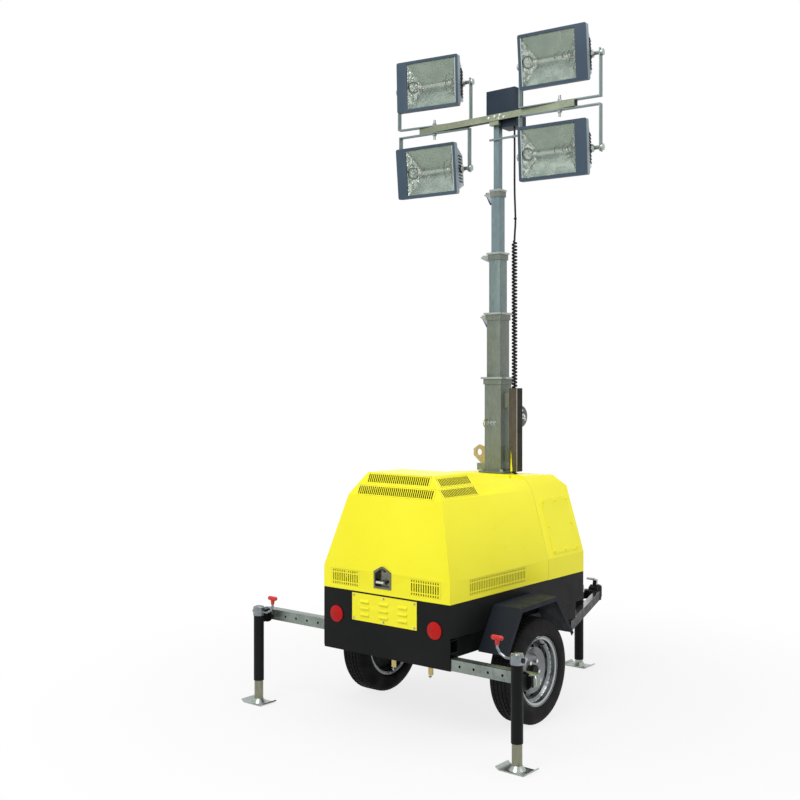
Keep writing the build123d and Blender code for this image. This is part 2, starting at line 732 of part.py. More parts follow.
def jack_grip(top):
    """Red T grip on the end of a crank rod."""
    x, rise = CRANK_BENDS[-1]
    low = top + CRANK_UP + rise + GAP
    bar_z = low + GRIP_STEM + GRIP_D / 2 - 4
    grip = Pos(x, 0, low) * Cone(9, 13, GRIP_STEM, align=(Align.CENTER, Align.CENTER, Align.MIN))
    half = (GRIP_L - GRIP_D) / 2
    grip += rod((x - half, 0, bar_z), (x + half, 0, bar_z), GRIP_D)
    for end in (x - half, x + half):
        grip += Pos(end, 0, bar_z) * Sphere(GRIP_D / 2)
    return grip


def make_jack(side, z):
    tube = jack_tube(JACK_TOP_Z, JACK_BOTTOM_Z)
    front = JACK_TUBE_D / 2
    plate_y = (ARM_Y - ARM / 2 - 10 - GAP) - JACK_Y
    plate = rod((0, plate_y - 8, z), (0, plate_y, z), SWIVEL_D)
    web = block((-22, 22), (front - 10, plate_y - 7), (z - 36, z + 36))
    web -= rod((0, 0, z - 40), (0, 0, z + 40), JACK_TUBE_D - 2 * JACK_WALL)
    bracket = plate + web
    bracket -= rod((0, front, z), (0, plate_y + 1, z), PIVOT_D + 2 * PIVOT_PLAY)
    jack = Pos(JACK_X, JACK_Y, 0) * (tube + bracket + jack_crank(JACK_TOP_Z))
    return jack if side > 0 else mirror_x(jack)


def make_leg(bottom, length_in):
    """Sliding leg of a jack on its axis, foot on the ground."""
    leg = rod((0, 0, FOOT_T - 1), (0, 0, bottom + length_in), JACK_LEG_D, JACK_LEG_D - 2 * JACK_LEG_WALL)
    foot = block(around(0, FOOT_W - 2 * FOOT_LIP), around(0, FOOT_D), (0, FOOT_T))
    half = FOOT_W / 2
    bend = half - FOOT_LIP
    profile = [(bend - 1, 0), (bend, 0), (half, 14), (half - 4, 14 + FOOT_T), (bend - 1, FOOT_T)]
    wing = prism_y(profile, -FOOT_D / 2, FOOT_D / 2)
    socket = Pos(0, 0, FOOT_T - 1) * Cone(44, JACK_LEG_D / 2 + 1, 24, align=ON_BASE)
    socket -= rod((0, 0, 0), (0, 0, 60), JACK_LEG_D - 2 * JACK_LEG_WALL)
    return leg + foot + wing + mirror_x(wing) + socket


def make_front_jack():
    tube = jack_tube(FRONT_JACK_TOP_Z, FRONT_JACK_BOTTOM_Z)
    jack = Pos(FRONT_JACK_X, FRONT_JACK_Y, 0) * (tube + jack_crank(FRONT_JACK_TOP_Z, -1))
    along = (Vector(*LEG_FRONT) - Vector(*LEG_REAR)).normalized()
    across = Vector(along.Y, -along.X)
    to_leg = (Vector(*LEG_REAR) - Vector(FRONT_JACK_X, FRONT_JACK_Y)).dot(across)
    thick = to_leg - LEG_W / 2 - GAP
    plane = Plane(
        origin=(FRONT_JACK_X, FRONT_JACK_Y, RAIL_BOTTOM_Z - LEG_H / 2),
        x_dir=(along.X, along.Y, 0),
        z_dir=(across.X, across.Y, 0),
    )
    pad = extrude(plane * Rectangle(90, LEG_H), thick)
    pad -= rod((FRONT_JACK_X, FRONT_JACK_Y, 0), (FRONT_JACK_X, FRONT_JACK_Y, 900), JACK_TUBE_D - 2)
    return jack + pad


def make_lock(half, top, reach, drop):
    """Spring lock on the -X face under a collar: two cheeks, a head, a plunger and a slanted lever."""
    root = 1 - half
    tip = root - reach
    high = top - COLLAR_T + 1
    low = high - drop
    cheek = [(root, high), (tip + 12, high), (tip + 12, high - 30), (root - 14, low + 10), (root, low + 10)]
    lock = prism_y(cheek, -LOCK_W / 2, -LOCK_W / 2 + LOCK_CHEEK)
    lock += prism_y(cheek, LOCK_W / 2 - LOCK_CHEEK, LOCK_W / 2)
    lock += block((tip, tip + 28), around(0, LOCK_W), (high - LOCK_HEAD_H, high))
    lever = [(tip, high - LOCK_HEAD_H + 1), (tip + 24, high - LOCK_HEAD_H + 1), (root - 8, low + 8),
             (root - 12, low), (root - 26, low)]
    lock += prism_y(lever, -LOCK_LEVER_W / 2, LOCK_LEVER_W / 2)
    return lock + rod((tip - 18, 0, high - LOCK_HEAD_H / 2), (root, 0, high - LOCK_HEAD_H / 2), LOCK_PIN_D)


def make_section(index):
    name, size, wall, length, top = SECTIONS[index]
    tube = Pos(0, 0, top - length) * square_tube(size, wall, length)
    if index == len(SECTIONS) - 1:
        tube += Pos(0, 0, top - 3) * Box(size, size, 6)
        return Pos(0, MAST_Y, 0) * tube
    if name in LOCKS:
        tube += make_lock(size / 2, top, *LOCKS[name])
    bore = SECTIONS[index + 1][1] + 2 * SLIDE_PLAY
    flange = size * COLLAR_OVER
    collar = Pos(0, 0, top - COLLAR_T / 2) * Box(flange, flange, COLLAR_T)
    band = size + COLLAR_BAND_OVER
    collar += Pos(0, 0, top - COLLAR_BAND_H / 2) * Box(band, band, COLLAR_BAND_H)
    tube += collar
    pad_h = COLLAR_BAND_H
    pads = Pos(0, 0, top - pad_h / 2) * Box(size - 2 * wall, size - 2 * wall, pad_h)
    tube += pads
    tube -= Pos(0, 0, top - pad_h / 2) * Box(bore, bore, pad_h + 2)
    return Pos(0, MAST_Y, 0) * tube


def make_mast_base():
    tube = make_section(0)
    bottom = TUB_FLOOR_Z + SHEET
    foot = block(around(0, MAST_FOOT), around(MAST_Y, MAST_FOOT), (bottom, bottom + MAST_FOOT_T))
    roof_z = PARTING_ROOF_Z + COWL_RISE
    flange = block(
        around(0, ROOF_FLANGE), around(MAST_Y, ROOF_FLANGE), (roof_z + GAP, roof_z + GAP + ROOF_FLANGE_T)
    )
    bore = SECTIONS[0][1] - 2 * SECTIONS[0][2]
    hollow = block(around(0, bore), around(MAST_Y, bore), (bottom - 1, roof_z + 40))
    socket = block((SECTIONS[0][1] / 2 - 1, CURLY_X + 28), around(MAST_Y, 56), (CURLY_Z[0] - 46, CURLY_Z[0]))
    return tube + (foot + flange - hollow) + socket


def make_lifting_eye():
    edge = -SECTIONS[0][1] / 2 - GAP
    low = PARTING_ROOF_Z + COWL_RISE + ROOF_FLANGE_T + 2 * GAP
    points = [(edge, low), (edge, EYE_Z + 30), (EYE_X, EYE_Z + 48), (EYE_X - 42, EYE_Z + 20),
              (EYE_X - 42, EYE_Z - 20), (-88, low + 30), (-88, low)]
    y = MAST_Y - 30
    plate = prism_y(points, y - EYE_T / 2, y + EYE_T / 2)
    return plate - rod((EYE_X, y - EYE_T, EYE_Z), (EYE_X, y + EYE_T, EYE_Z), EYE_HOLE_D)


def make_trough():
    low = PARTING_ROOF_Z + COWL_RISE + ROOF_FLANGE_T + 2 * GAP
    outer = block(around(TROUGH_X, TROUGH), around(MAST_Y, TROUGH), (low, TROUGH_TOP_Z))
    hollow = TROUGH - 2 * TROUGH_WALL
    inner_y = (MAST_Y - hollow / 2, MAST_Y + TROUGH)
    outer -= block(around(TROUGH_X, hollow), inner_y, (low - 1, TROUGH_TOP_Z + 1))
    edge = SECTIONS[0][1] / 2 + GAP
    for z in (low + 60, TROUGH_TOP_Z - 120):
        outer += block((edge, TROUGH_X - TROUGH / 2 + 1), around(MAST_Y, 40), (z, z + 90))
    notch = [(TROUGH_X - 22, low - 1), (TROUGH_X - 4, low - 1), (TROUGH_X - 16, low + 150)]
    return outer - prism_y(notch, MAST_Y - TROUGH, MAST_Y - TROUGH / 2 + TROUGH_WALL + 1)


def make_winch():
    """Hand winch on the mast's front face: two cheeks, drum, gear case on the right, crank on the left."""
    face = MAST_Y + SECTIONS[0][1] / 2 + GAP
    axle_y = face + WINCH_AXLE
    half = WINCH_W / 2
    drum_r = WINCH_DRUM_D / 2
    foot = WINCH_FOOT_H / 2
    cheek = [(face, WINCH_Z - foot), (face, WINCH_Z + foot), (axle_y, WINCH_Z + drum_r + 6),
             (axle_y + drum_r, WINCH_Z + 20), (axle_y + drum_r, WINCH_Z - 20), (axle_y, WINCH_Z - drum_r - 6)]
    winch = prism_x(cheek, -half, -half + SHEET) + prism_x(cheek, half - SHEET, half)
    winch += block((-half, half), (face, face + SHEET), (WINCH_Z - foot, WINCH_Z + foot))
    winch += rod((1 - half, axle_y, WINCH_Z), (half - 1, axle_y, WINCH_Z), WINCH_DRUM_D / 2)
    for x in (-half + 8, half - 12):
        winch += rod((x, axle_y, WINCH_Z), (x + 4, axle_y, WINCH_Z), WINCH_DRUM_D)
    gear = rod((half - 1, axle_y, WINCH_Z), (half + WINCH_GEAR_T, axle_y, WINCH_Z), WINCH_GEAR_D)
    winch += chamfer(gear.faces().sort_by(Axis.X)[-1].edges(), 5)
    winch += rod((half + 2, axle_y, WINCH_Z), (half + WINCH_GEAR_T + 9, axle_y, WINCH_Z), 24)
    crank_x = -half - 20
    winch += rod((1 - half, axle_y, WINCH_Z), (crank_x - 10, axle_y, WINCH_Z), 18)
    winch += block((crank_x - 8, crank_x), around(axle_y, 24), (WINCH_Z - WINCH_CRANK, WINCH_Z + 14))
    grip_z = WINCH_Z - WINCH_CRANK + 14
    return winch + rod((crank_x - 2, axle_y, grip_z), (crank_x - 84, axle_y, grip_z), 26)


def make_crossbar():
    bar = block((-BAR_LENGTH / 2, BAR_LENGTH / 2), around(BAR_Y, BAR), around(BAR_Z, BAR))
    hollow = BAR - 2 * BAR_WALL
    bar -= block((-BAR_LENGTH / 2 - 1, BAR_LENGTH / 2 + 1), around(BAR_Y, hollow), around(BAR_Z, hollow))
    for side in (1, -1):
        x = side * BOLT_X
        bar += rod((x, BAR_Y, BAR_Z - BAR / 2 - 44), (x, BAR_Y, BAR_Z + BAR / 2 + 44), STUD_D)
        for way in (1, -1):
            seat = BAR_Z + way * (BAR / 2 + 2 * GAP + YOKE_T)
            nut = Plane(origin=(x, BAR_Y, seat), z_dir=(0, 0, way))
            bar += extrude(plane_nut(nut), 13)
    return bar


def plane_nut(plane):
    return plane * RegularPolygon(15, 6)


def place_lamp(name, side, way, pan, tilt, shape, tilted):
    """Place a shape drawn about the lamp's pivot, with the face towards -Y."""
    turned = Rot(tilt, 0, 0) * shape if tilted else shape
    pivot_z = BAR_Z + way * YOKE_REACH
    return Pos(side * BOLT_X, BAR_Y, pivot_z) * Rot(0, 0, pan) * turned


def make_yoke(way):
    base = -way * (YOKE_REACH - BAR / 2 - GAP)
    half = YOKE_SPAN / 2
    tip = way * YOKE_TAIL
    t = YOKE_T
    inner_base = base + way * t
    points = [(-half, tip), (-half, base), (half, base), (half, tip),
              (half - t, tip), (half - t, inner_base), (-half + t, inner_base), (-half + t, tip)]
    yoke = prism_y(points, -YOKE_W / 2, YOKE_W / 2)
    low, high = sorted((base - way, inner_base + way))
    yoke -= rod((0, 0, low), (0, 0, high), STUD_D + 2 * STUD_PLAY)
    return yoke - rod((-half - 1, 0, 0), (half + 1, 0, 0), TRUNNION_D + 2 * STUD_PLAY)


def lamp_plane(y):
    return Plane(origin=(0, y, 0), x_dir=(1, 0, 0), z_dir=(0, 1, 0))


def lamp_taper(front_y, back_y, front_size, back_size, shift):
    """Four-sided taper between two depths; shift moves it along X."""
    return loft([
        lamp_plane(front_y) * (Pos(shift, 0) * Rectangle(*front_size)),
        lamp_plane(back_y) * (Pos(shift, 0) * Rectangle(*back_size)),
    ])


def make_fins():
    """Cooling louvres up one slanted side of the case."""
    front, back = LAMP_FRAME_D - LAMP_FRONT, LAMP_BACK
    wide = (LAMP_W + LAMP_BEZEL_W) / 2 - LAMP_CASE_IN
    narrow = LAMP_BACK_W / 2
    slope = (wide - narrow) / (back - front)
    root_x = [wide - slope * (y - front) - 2 for y in FIN_Y]
    plan = [(root_x[0], FIN_Y[0]), (root_x[1], FIN_Y[1]), (root_x[1] + FIN_OUT, FIN_Y[1]),
            (root_x[0] + FIN_OUT, FIN_Y[0])]
    fin = extrude(outline_face(plan, Plane.XY), FIN_T)
    first = -(FIN_COUNT - 1) * FIN_PITCH / 2 - FIN_T / 2
    fins = Pos(0, 0, first) * fin
    for index in range(1, FIN_COUNT):
        fins += Pos(0, 0, first + index * FIN_PITCH) * fin
    return fins


def make_lamp_body(side):
    """Sheet housing with a wide side bezel, a sunk reflector and two trunnions."""
    front, back = -LAMP_FRONT, LAMP_BACK
    frame_back = front + LAMP_FRAME_D
    shift = -side * LAMP_BEZEL_W / 2
    wall = LAMP_WALL
    frame = extrude(
        lamp_plane(front) * RectangleRounded(LAMP_W + LAMP_BEZEL_W, LAMP_H, 12), LAMP_FRAME_D
    )
    case_size = (LAMP_W + LAMP_BEZEL_W - 2 * LAMP_CASE_IN, LAMP_CASE_H)
    back_size = (LAMP_BACK_W, LAMP_BACK_H)
    case = lamp_taper(frame_back - 1, back, case_size, back_size, 0)
    cavity_size = [length - 2 * wall for length in case_size]
    cavity_back = [length - 2 * wall for length in back_size]
    cavity = lamp_taper(front + wall, back - wall, cavity_size, cavity_back, 0)
    opening = (LAMP_W - 2 * LAMP_RIM, LAMP_H - 2 * LAMP_RIM)
    rebate_y = front + GLASS_T + 4
    rebate = lamp_taper(front - 1, rebate_y, opening, opening, shift)
    deep = (opening[0] * 0.5, opening[1] * 0.5)
    dish = lamp_taper(rebate_y - 0.1, front + REFLECTOR_DEPTH, opening, deep, shift)
    dish_outer = lamp_taper(
        rebate_y - 0.1,
        front + REFLECTOR_DEPTH + wall,
        [length + 2 * wall for length in opening],
        [length + 2 * wall for length in deep],
        shift,
    )
    outer = frame + case
    edge = YOKE_SPAN / 2
    trunnions = rod((-edge - 14, 0, 0), (-LAMP_BACK_W / 2 - 20, 0, 0), TRUNNION_D)
    trunnions += rod((-edge - GAP, 0, 0), (-edge - 14, 0, 0), KNOB_D)
    trunnions += mirror_x(trunnions)
    fins = make_fins()
    outer += fins + mirror_x(fins)
    body = outer - cavity + (dish_outer & outer) + trunnions
    return body - rebate - dish


def make_glass(side):
    shift = -side * LAMP_BEZEL_W / 2
    size = [length - 2 * LAMP_RIM - 2 * GAP for length in (LAMP_W, LAMP_H)]
    return extrude(lamp_plane(-LAMP_FRONT + 3) * (Pos(shift, 0) * Rectangle(*size)), GLASS_T)


def make_junction_box():
    """Box on the bar's back with a lid, a smaller box under it and cable glands."""
    face = MAST_Y + SECTIONS[4][1] / 2 + GAP
    low, high = BOX_Z
    left, right = BOX_X
    back = face + BOX_D
    box = block((left + 4, right - 4), (face, back - 10), (low + 4, high - 4))
    box += block((left, right), (back - 12, back), (low, high))
    lower_x, lower_y = (SECTIONS[4][1] / 2 + 4, CURLY_X + 26), (BAR_Y + BAR / 2 + 4, face + 70)
    box += block(lower_x, lower_y, (CABLE_TOP_Z, low + 5))
    for x, y, z, way in glands():
        end = (x + way[0] * GLAND_L, y, z + way[1] * GLAND_L)
        box += rod((x - way[0] * 3, y, z - way[1] * 3), end, GLAND_D)
    return box


def glands():
    """Cable glands: (x, y, z, (direction in x, direction in z))."""
    y = MAST_Y + SECTIONS[4][1] / 2 + GAP + BOX_D / 2
    left, right = BOX_X
    low, high = BOX_Z
    return [
        (left + 4, y, high - 40, (-1, 0)),
        (left + 4, y, low + 34, (-1, 0)),
        (right - 4, y, low + 34, (1, 0)),
    ]


def make_support_bar():
    y = MAST_Y - SECTIONS[4][1] / 2 - GAP
    clip_y = MAST_Y - CABLE_D / 2 - GAP
    bar = block(SUPPORT_BAR_X, (y - 12, y), around(SUPPORT_BAR_Z, 12))
    return bar + block(around(CURLY_X, 24), (y - 1, clip_y), around(SUPPORT_BAR_Z, 12))


def make_curly():
    return rod((CURLY_X, MAST_Y, CURLY_Z[0]), (CURLY_X, MAST_Y, CURLY_Z[1]), CURLY_D)


def make_straight_cable():
    return rod((CURLY_X, MAST_Y, CURLY_Z[1]), (CURLY_X, MAST_Y, CABLE_TOP_Z - GAP), CABLE_D)


def make_engine():
    w, d = ENGINE_SIZE
    return block(around(0, w), around(ENGINE_Y, d), (TUB_FLOOR_Z + SHEET, ENGINE_TOP_Z))


def make_plate_panel():
    """Sheet on the tub's rear with three columns of pressed louvres, open downwards."""
    w, h, t = PLATE
    face_y = REAR_Y - GAP - t
    panel = block(around(0, w), (face_y, REAR_Y - GAP), around(PLATE_Z, h))
    for column in (-1, 0, 1):
        for row in (-1, 0, 1):
            x = around(column * LOUVRE_PITCH[0], LOUVRE_W)
            z = PLATE_Z + row * LOUVRE_PITCH[1]
            panel += louvre(x, face_y, z)
            panel -= block((x[0] + 2, x[1] - 2), (face_y - 1, REAR_Y), (z - 7, z + 1))
    return panel


def louvre(x, face_y, z):
    """One hooded louvre on a face towards -Y."""
    deep = LOUVRE_OUT
    skin = [(face_y, z + 7), (face_y - deep * 0.6, z + 4), (face_y - deep, z - 2), (face_y - deep, z - 7),
            (face_y, z - 7)]
    hollow = [(face_y + 1, z + 4), (face_y - deep * 0.5, z + 2), (face_y - deep + 1.5, z - 3),
              (face_y - deep + 1.5, z - 8), (face_y + 1, z - 8)]
    return prism_x(skin, *x) - prism_x(hollow, x[0] + 1.5, x[1] - 1.5)


def make_tail_lamps():
    """Round lamps with a domed lens."""
    r, t = TAIL_LAMP_D / 2, TAIL_LAMP_T
    rim_r, rim_t = r - 3, t - TAIL_LAMP_DOME
    ball = (rim_r ** 2 + TAIL_LAMP_DOME ** 2) / (2 * TAIL_LAMP_DOME)
    lens = rod((0, 0, 0), (0, 0, rim_t), 2 * r) + rod((0, 0, 0), (0, 0, t), 2 * rim_r)
    lens &= Pos(0, 0, t - ball) * Sphere(ball) + rod((0, 0, 0), (0, 0, rim_t), 2 * r)
    lamp = Pos(TAIL_LAMP_X, REAR_Y - GAP, TAIL_LAMP_Z) * Rot(90, 0, 0) * lens
    return lamp, mirror_x(lamp)


def latch_outline(inset):
    """House-shaped outline of the latch dish as (x, z) corners."""
    low, high = LATCH_Z[0] + inset, LATCH_Z[1] - inset
    half = LATCH_W / 2 - inset
    shoulder = high - LATCH_PEAK
    left, right = LATCH_X - half, LATCH_X + half
    return [(left, low), (right, low), (right, shoulder), (LATCH_X + LATCH_TIP, high),
            (LATCH_X - LATCH_TIP, high), (left, shoulder)]


def make_latch():
    y = REAR_Y - GAP
    rim = prism_y(latch_outline(0), y - 3, y)
    dish = prism_y(latch_outline(LATCH_RIM + GAP), y - 1, y + LATCH_DEEP)
    dish -= prism_y(latch_outline(LATCH_RIM + 2), y - 4, y + LATCH_DEEP - 2)
    rim -= prism_y(latch_outline(LATCH_RIM + 2), y - 4, y + 1)
    middle_z = LATCH_Z[0] + 36
    floor_y = y + LATCH_DEEP - 2
    shaft = rod((LATCH_X, floor_y + 1, middle_z), (LATCH_X, y - 8, middle_z), 16)
    boss = rod((LATCH_X, floor_y + 1, middle_z), (LATCH_X, floor_y - 8, middle_z), 34)
    grip = rod((LATCH_X - 31, y - 10, middle_z), (LATCH_X + 31, y - 10, middle_z), 13)
    return rim + dish + boss + shaft + grip


def make_access_panel():
    plane = side_slope_plane(1, False)
    face = Pos(FRONT_Y - PANEL_IN, PANEL_UP) * RectangleRounded(*PANEL_SIZE, 14)
    return extrude(plane.offset(GAP) * face, 3)


def make_hinge_pins():
    axis_y, axis_z = PARTING_Y - HINGE_BACK, PARTING_ROOF_Z + HINGE_UP
    pieces = []
    for x in HINGE_X:
        pin = rod((x - 40, axis_y, axis_z), (x + 40, axis_y, axis_z), HINGE_PIN_D)
        barrel = rod((x - 14, axis_y, axis_z), (x + 14, axis_y, axis_z), 18)
        leaf = block((x - 14, x + 14), (axis_y, PARTING_Y - GAP), around(axis_z, 6))
        pieces.append(pin + barrel + leaf)
    return pieces


def make_hinge_leaves():
    axis_y, axis_z = PARTING_Y - HINGE_BACK, PARTING_ROOF_Z + HINGE_UP
    ramp = (ROOF_Z - PARTING_ROOF_Z) / (PARTING_Y - ROOF_FLAT_END_Y)
    rear_y = axis_y - 60
    low = [PARTING_ROOF_Z + ramp * (PARTING_Y - y) + GAP for y in (rear_y, axis_y)]
    plate = [(rear_y, low[0]), (axis_y, low[1]), (axis_y, low[1] + 3), (rear_y, low[0] + 3)]
    riser = [(axis_y - 8, low[1] + 1), (axis_y, low[1]), (axis_y, axis_z), (axis_y - 8, axis_z)]
    pieces = []
    for x in HINGE_X:
        leaf = prism_x(plate, x - 40, x + 40)
        for side in (-1, 1):
            middle = x + side * 27.5
            leaf += prism_x(riser, middle - 12.5, middle + 12.5)
            leaf += rod((middle - 12.5, axis_y, axis_z), (middle + 12.5, axis_y, axis_z), 18)
            leaf -= rod((middle - 13, axis_y, axis_z), (middle + 13, axis_y, axis_z), HINGE_PIN_D + 0.4)
        pieces.append(leaf)
    return pieces


os.makedirs("parts", exist_ok=True)

write("base_tub", make_tub())
write("front_cowl", make_cowl())
write("hood_shell", make_hood())
write("upper_grilles", *[band_grille(band) for band in slotted_bands()])
write("lower_vents", *[band_grille(band) for band in vent_bands()])
write("hood_latch", make_latch())
write("hood_hinge_pins", *make_hinge_pins())
write("hood_hinge_leaves", *make_hinge_leaves())
write("access_panel", make_access_panel())
write("engine_block", make_engine())
write("plate_panel", make_plate_panel())
write("tail_lamps", *make_tail_lamps())

write("chassis_rails", *make_rails())
write("chassis_crossmembers", *make_crossmembers())
write("outrigger_sleeves", *make_sleeves())
write("drawbar_leg_right", make_drawbar_leg(1))
write("drawbar_leg_left", make_drawbar_leg(-1))
write("tow_coupling", make_coupling())
write("axle", make_axle())

for side, name in ((1, "right"), (-1, "left")):
    write("wheel_rim_" + name, make_wheel(side, make_rim))
    write("tyre_" + name, make_wheel(side, make_tyre))
    write("mudguard_" + name, make_mudguard(side))

for side, name, z in OUTRIGGERS:
    write("outrigger_arm_" + name, make_arm(side, z))
    write("rear_jack_" + name, make_jack(side, z))
    knob = Pos(JACK_X, JACK_Y, 0) * jack_grip(JACK_TOP_Z)
    write("jack_knob_" + name, knob if side > 0 else mirror_x(knob))
    leg = Pos(JACK_X, JACK_Y, 0) * make_leg(JACK_BOTTOM_Z, JACK_LEG_IN)
    write("jack_leg_" + name, leg if side > 0 else mirror_x(leg))

write("front_jack", make_front_jack())
write("front_jack_leg", Pos(FRONT_JACK_X, FRONT_JACK_Y, 0) * make_leg(FRONT_JACK_BOTTOM_Z, FRONT_LEG_IN))

write("mast_1", make_mast_base())
for index in range(1, len(SECTIONS)):
    write(SECTIONS[index][0], make_section(index))
write("lifting_eye", make_lifting_eye())
write("cable_trough", make_trough())
write("winch", make_winch())
write("lamp_bar", make_crossbar())
write("junction_box", make_junction_box())
write("cable_support", make_support_bar())
write("mast_cable", make_straight_cable())
write("curly_cord", make_curly())

for name, side, way, pan, tilt in LAMPS:
    write("yoke_" + name, place_lamp(name, side, way, pan, tilt, make_yoke(way), False))
    write("lamp_" + name, place_lamp(name, side, way, pan, tilt, make_lamp_body(side), True))
    write("lamp_glass_" + name, place_lamp(name, side, way, pan, tilt, make_glass(side), True))

print("shift", SHIFT_Y)
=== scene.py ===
import json
import math

import bmesh
import bpy
from mathutils import Matrix, Vector


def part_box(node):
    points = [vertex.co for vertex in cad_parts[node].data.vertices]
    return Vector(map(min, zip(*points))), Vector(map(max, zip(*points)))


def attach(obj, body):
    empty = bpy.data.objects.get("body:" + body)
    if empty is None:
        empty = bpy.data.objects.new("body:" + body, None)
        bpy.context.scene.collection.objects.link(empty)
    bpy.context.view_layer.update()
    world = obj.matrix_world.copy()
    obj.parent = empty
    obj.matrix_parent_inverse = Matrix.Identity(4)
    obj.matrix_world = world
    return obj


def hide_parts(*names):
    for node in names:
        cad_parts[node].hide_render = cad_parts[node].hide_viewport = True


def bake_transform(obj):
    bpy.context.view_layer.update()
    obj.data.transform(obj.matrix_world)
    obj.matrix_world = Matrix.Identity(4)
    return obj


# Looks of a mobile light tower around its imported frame. Metres, +Z up, +Y towards the tow coupling.
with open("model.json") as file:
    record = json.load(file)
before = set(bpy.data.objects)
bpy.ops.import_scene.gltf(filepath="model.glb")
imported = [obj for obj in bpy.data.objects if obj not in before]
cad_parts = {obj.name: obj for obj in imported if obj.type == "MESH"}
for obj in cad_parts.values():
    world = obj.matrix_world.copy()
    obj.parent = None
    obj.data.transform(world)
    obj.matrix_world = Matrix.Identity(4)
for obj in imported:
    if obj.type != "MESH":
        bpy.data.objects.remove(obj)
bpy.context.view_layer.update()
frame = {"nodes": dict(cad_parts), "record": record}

NODES = frame["nodes"]
RECORD = frame["record"]
JOINTS = {row["name"]: row for row in RECORD["behaviour"]["joints"]}
BODY_OF = {node: body for body, nodes in RECORD["behaviour"]["bodies"].items() for node in nodes}
SLOT_OF = {row["node"]: row["material_slot"] for row in RECORD["subparts"]}
SIDES = {"right": 1, "left": -1}

WELD = 2e-5
FLAT_ANGLE = math.radians(0.6)
SMOOTH_ANGLE = math.radians(34)
EDGE_ANGLE = math.radians(40)
ROUGHLY, SAME_WAY, SLOT_WALL = 0.6, 0.999, 0.94

# Body.
TUB_LOW, TUB_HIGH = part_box("base_tub")
REAR_Y = TUB_LOW.y
MIDDLE_Y = (TUB_LOW.y + TUB_HIGH.y) / 2
INSIDE = {"hood_shell": Vector((0, MIDDLE_Y - 0.15, 0.95)), "front_cowl": Vector((0, MIDDLE_Y + 0.45, 0.95))}
PARTING_Y = -0.160
SEAM_WEDGE = [(0.2320, 1.3080), (0.2320, 1.3312), (0.2668, 1.3312), (0.2850, 1.3080)]
PLATE_LOW, PLATE_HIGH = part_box("plate_panel")
PLATE_FACE_Y = PLATE_HIGH.y - 0.003
LATCH_LOW, LATCH_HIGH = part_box("hood_latch")
LATCH_X = (LATCH_LOW.x + LATCH_HIGH.x) / 2
SLEEVES_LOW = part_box("outrigger_sleeves")[0]
CLAMP_X = (0.06, 0.31)

# Mast, its foot, trough and winch.
MAST_LOW, MAST_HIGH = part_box("mast_5")
MAST_Y = (MAST_LOW.y + MAST_HIGH.y) / 2
SECTION_HALF = {"mast_1": 0.060, "mast_2": 0.050, "mast_3": 0.040, "mast_4": 0.030, "mast_5": 0.020}
MAST_REAR = MAST_Y - SECTION_HALF["mast_1"]
COLLAR_T = 0.012
LOCK_HEAD_H = 0.024
LOCK_LEVER_HALF = 0.0095
FLANGE_Z = 1.3453
FLANGE_BOLT = 0.073
TROUGH_LOW, TROUGH_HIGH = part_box("cable_trough")
TROUGH_X = 0.1002
WINCH_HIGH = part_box("winch")[1]
WINCH_GEAR_Y, WINCH_GEAR_Z = 0.1373, 1.680
WINCH_GEAR_BOLTS = 0.038

# Crossbar.
BAR_LOW, BAR_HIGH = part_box("lamp_bar")
BAR_Z = (BAR_LOW.z + BAR_HIGH.z) / 2
BAR_HALF = 0.020
BAR_WALL = 0.003
PLUG_L = 0.012

# Stands and coupling.
JACK_HEAD_Z = 0.516
JACK_LID_Z = 0.563
JACK_LID_BOLTS = 0.0245
ARM_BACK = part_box("rear_jack_right")[1].y
FOOT_TOP_Z = 0.032
FRONT_JACK_HEAD_Z = 0.494
FRONT_JACK_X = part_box("front_jack_leg")[0].x + 0.092
COUPLING_TOP_Z = 0.468

# Wheels.
HUB_CAP_R = 0.031
BARREL_R = 0.172
LIP_RING_R = 0.168
NUT_RING = (0.047, 0.067)
RIM_PAINTS = ["rim_silver", "engine_grey", "rim_lip_highlight", "bright_zinc_and_highlight"]
TYRE_R = 0.2925
BEAD_R, LIP_R, LIP_Y = 0.1783, 0.1958, 0.0637
WALL = [(0.205, 0.0785), (0.216, 0.0815), (0.2315, 0.0825), (0.246, 0.0817), (0.262, 0.0785)]
SHOULDER = [(0.2785, 0.0705), (0.287, 0.062), (TYRE_R - 0.001, 0.055)]
TREAD_PITCHES = 62
TREAD_STEPS = 5
TREAD_DEPTH = 0.006
RIBS = (0.012, 0.036)
RIB_W = 0.0035
VALVE_R, VALVE_ANGLE = 0.150, 0.5


# Materials, filed under their names.
PAINTS = {}


def new_material(name):
    """A filed material's node tree and its main shader."""
    PAINTS[name] = bpy.data.materials.new(name)
    PAINTS[name].use_nodes = True
    tree = PAINTS[name].node_tree
    return tree, tree.nodes["Principled BSDF"]


def texture(tree, kind, scale, stretch=(1, 1, 1), **settings):
    """A texture in the object's own coordinates, stretched along the axes."""
    coordinate = tree.nodes.new("ShaderNodeTexCoord")
    mapping = tree.nodes.new("ShaderNodeMapping")
    mapping.inputs["Scale"].default_value = stretch
    tree.links.new(coordinate.outputs["Object"], mapping.inputs["Vector"])
    node = tree.nodes.new(kind)
    node.inputs["Scale"].default_value = scale
    for key, value in settings.items():
        node.inputs[key].default_value = value
    tree.links.new(mapping.outputs["Vector"], node.inputs["Vector"])
    return node


def ramp(tree, source, stops):
    """Colour ramp from (place, colour) stops."""
    node = tree.nodes.new("ShaderNodeValToRGB")
    for element, (place, colour) in zip(node.color_ramp.elements, (stops[0], stops[-1])):
        element.position = place
        element.color = (*colour, 1)
    for place, colour in stops[1:-1]:
        node.color_ramp.elements.new(place).color = (*colour, 1)
    tree.links.new(source, node.inputs["Fac"])
    return node


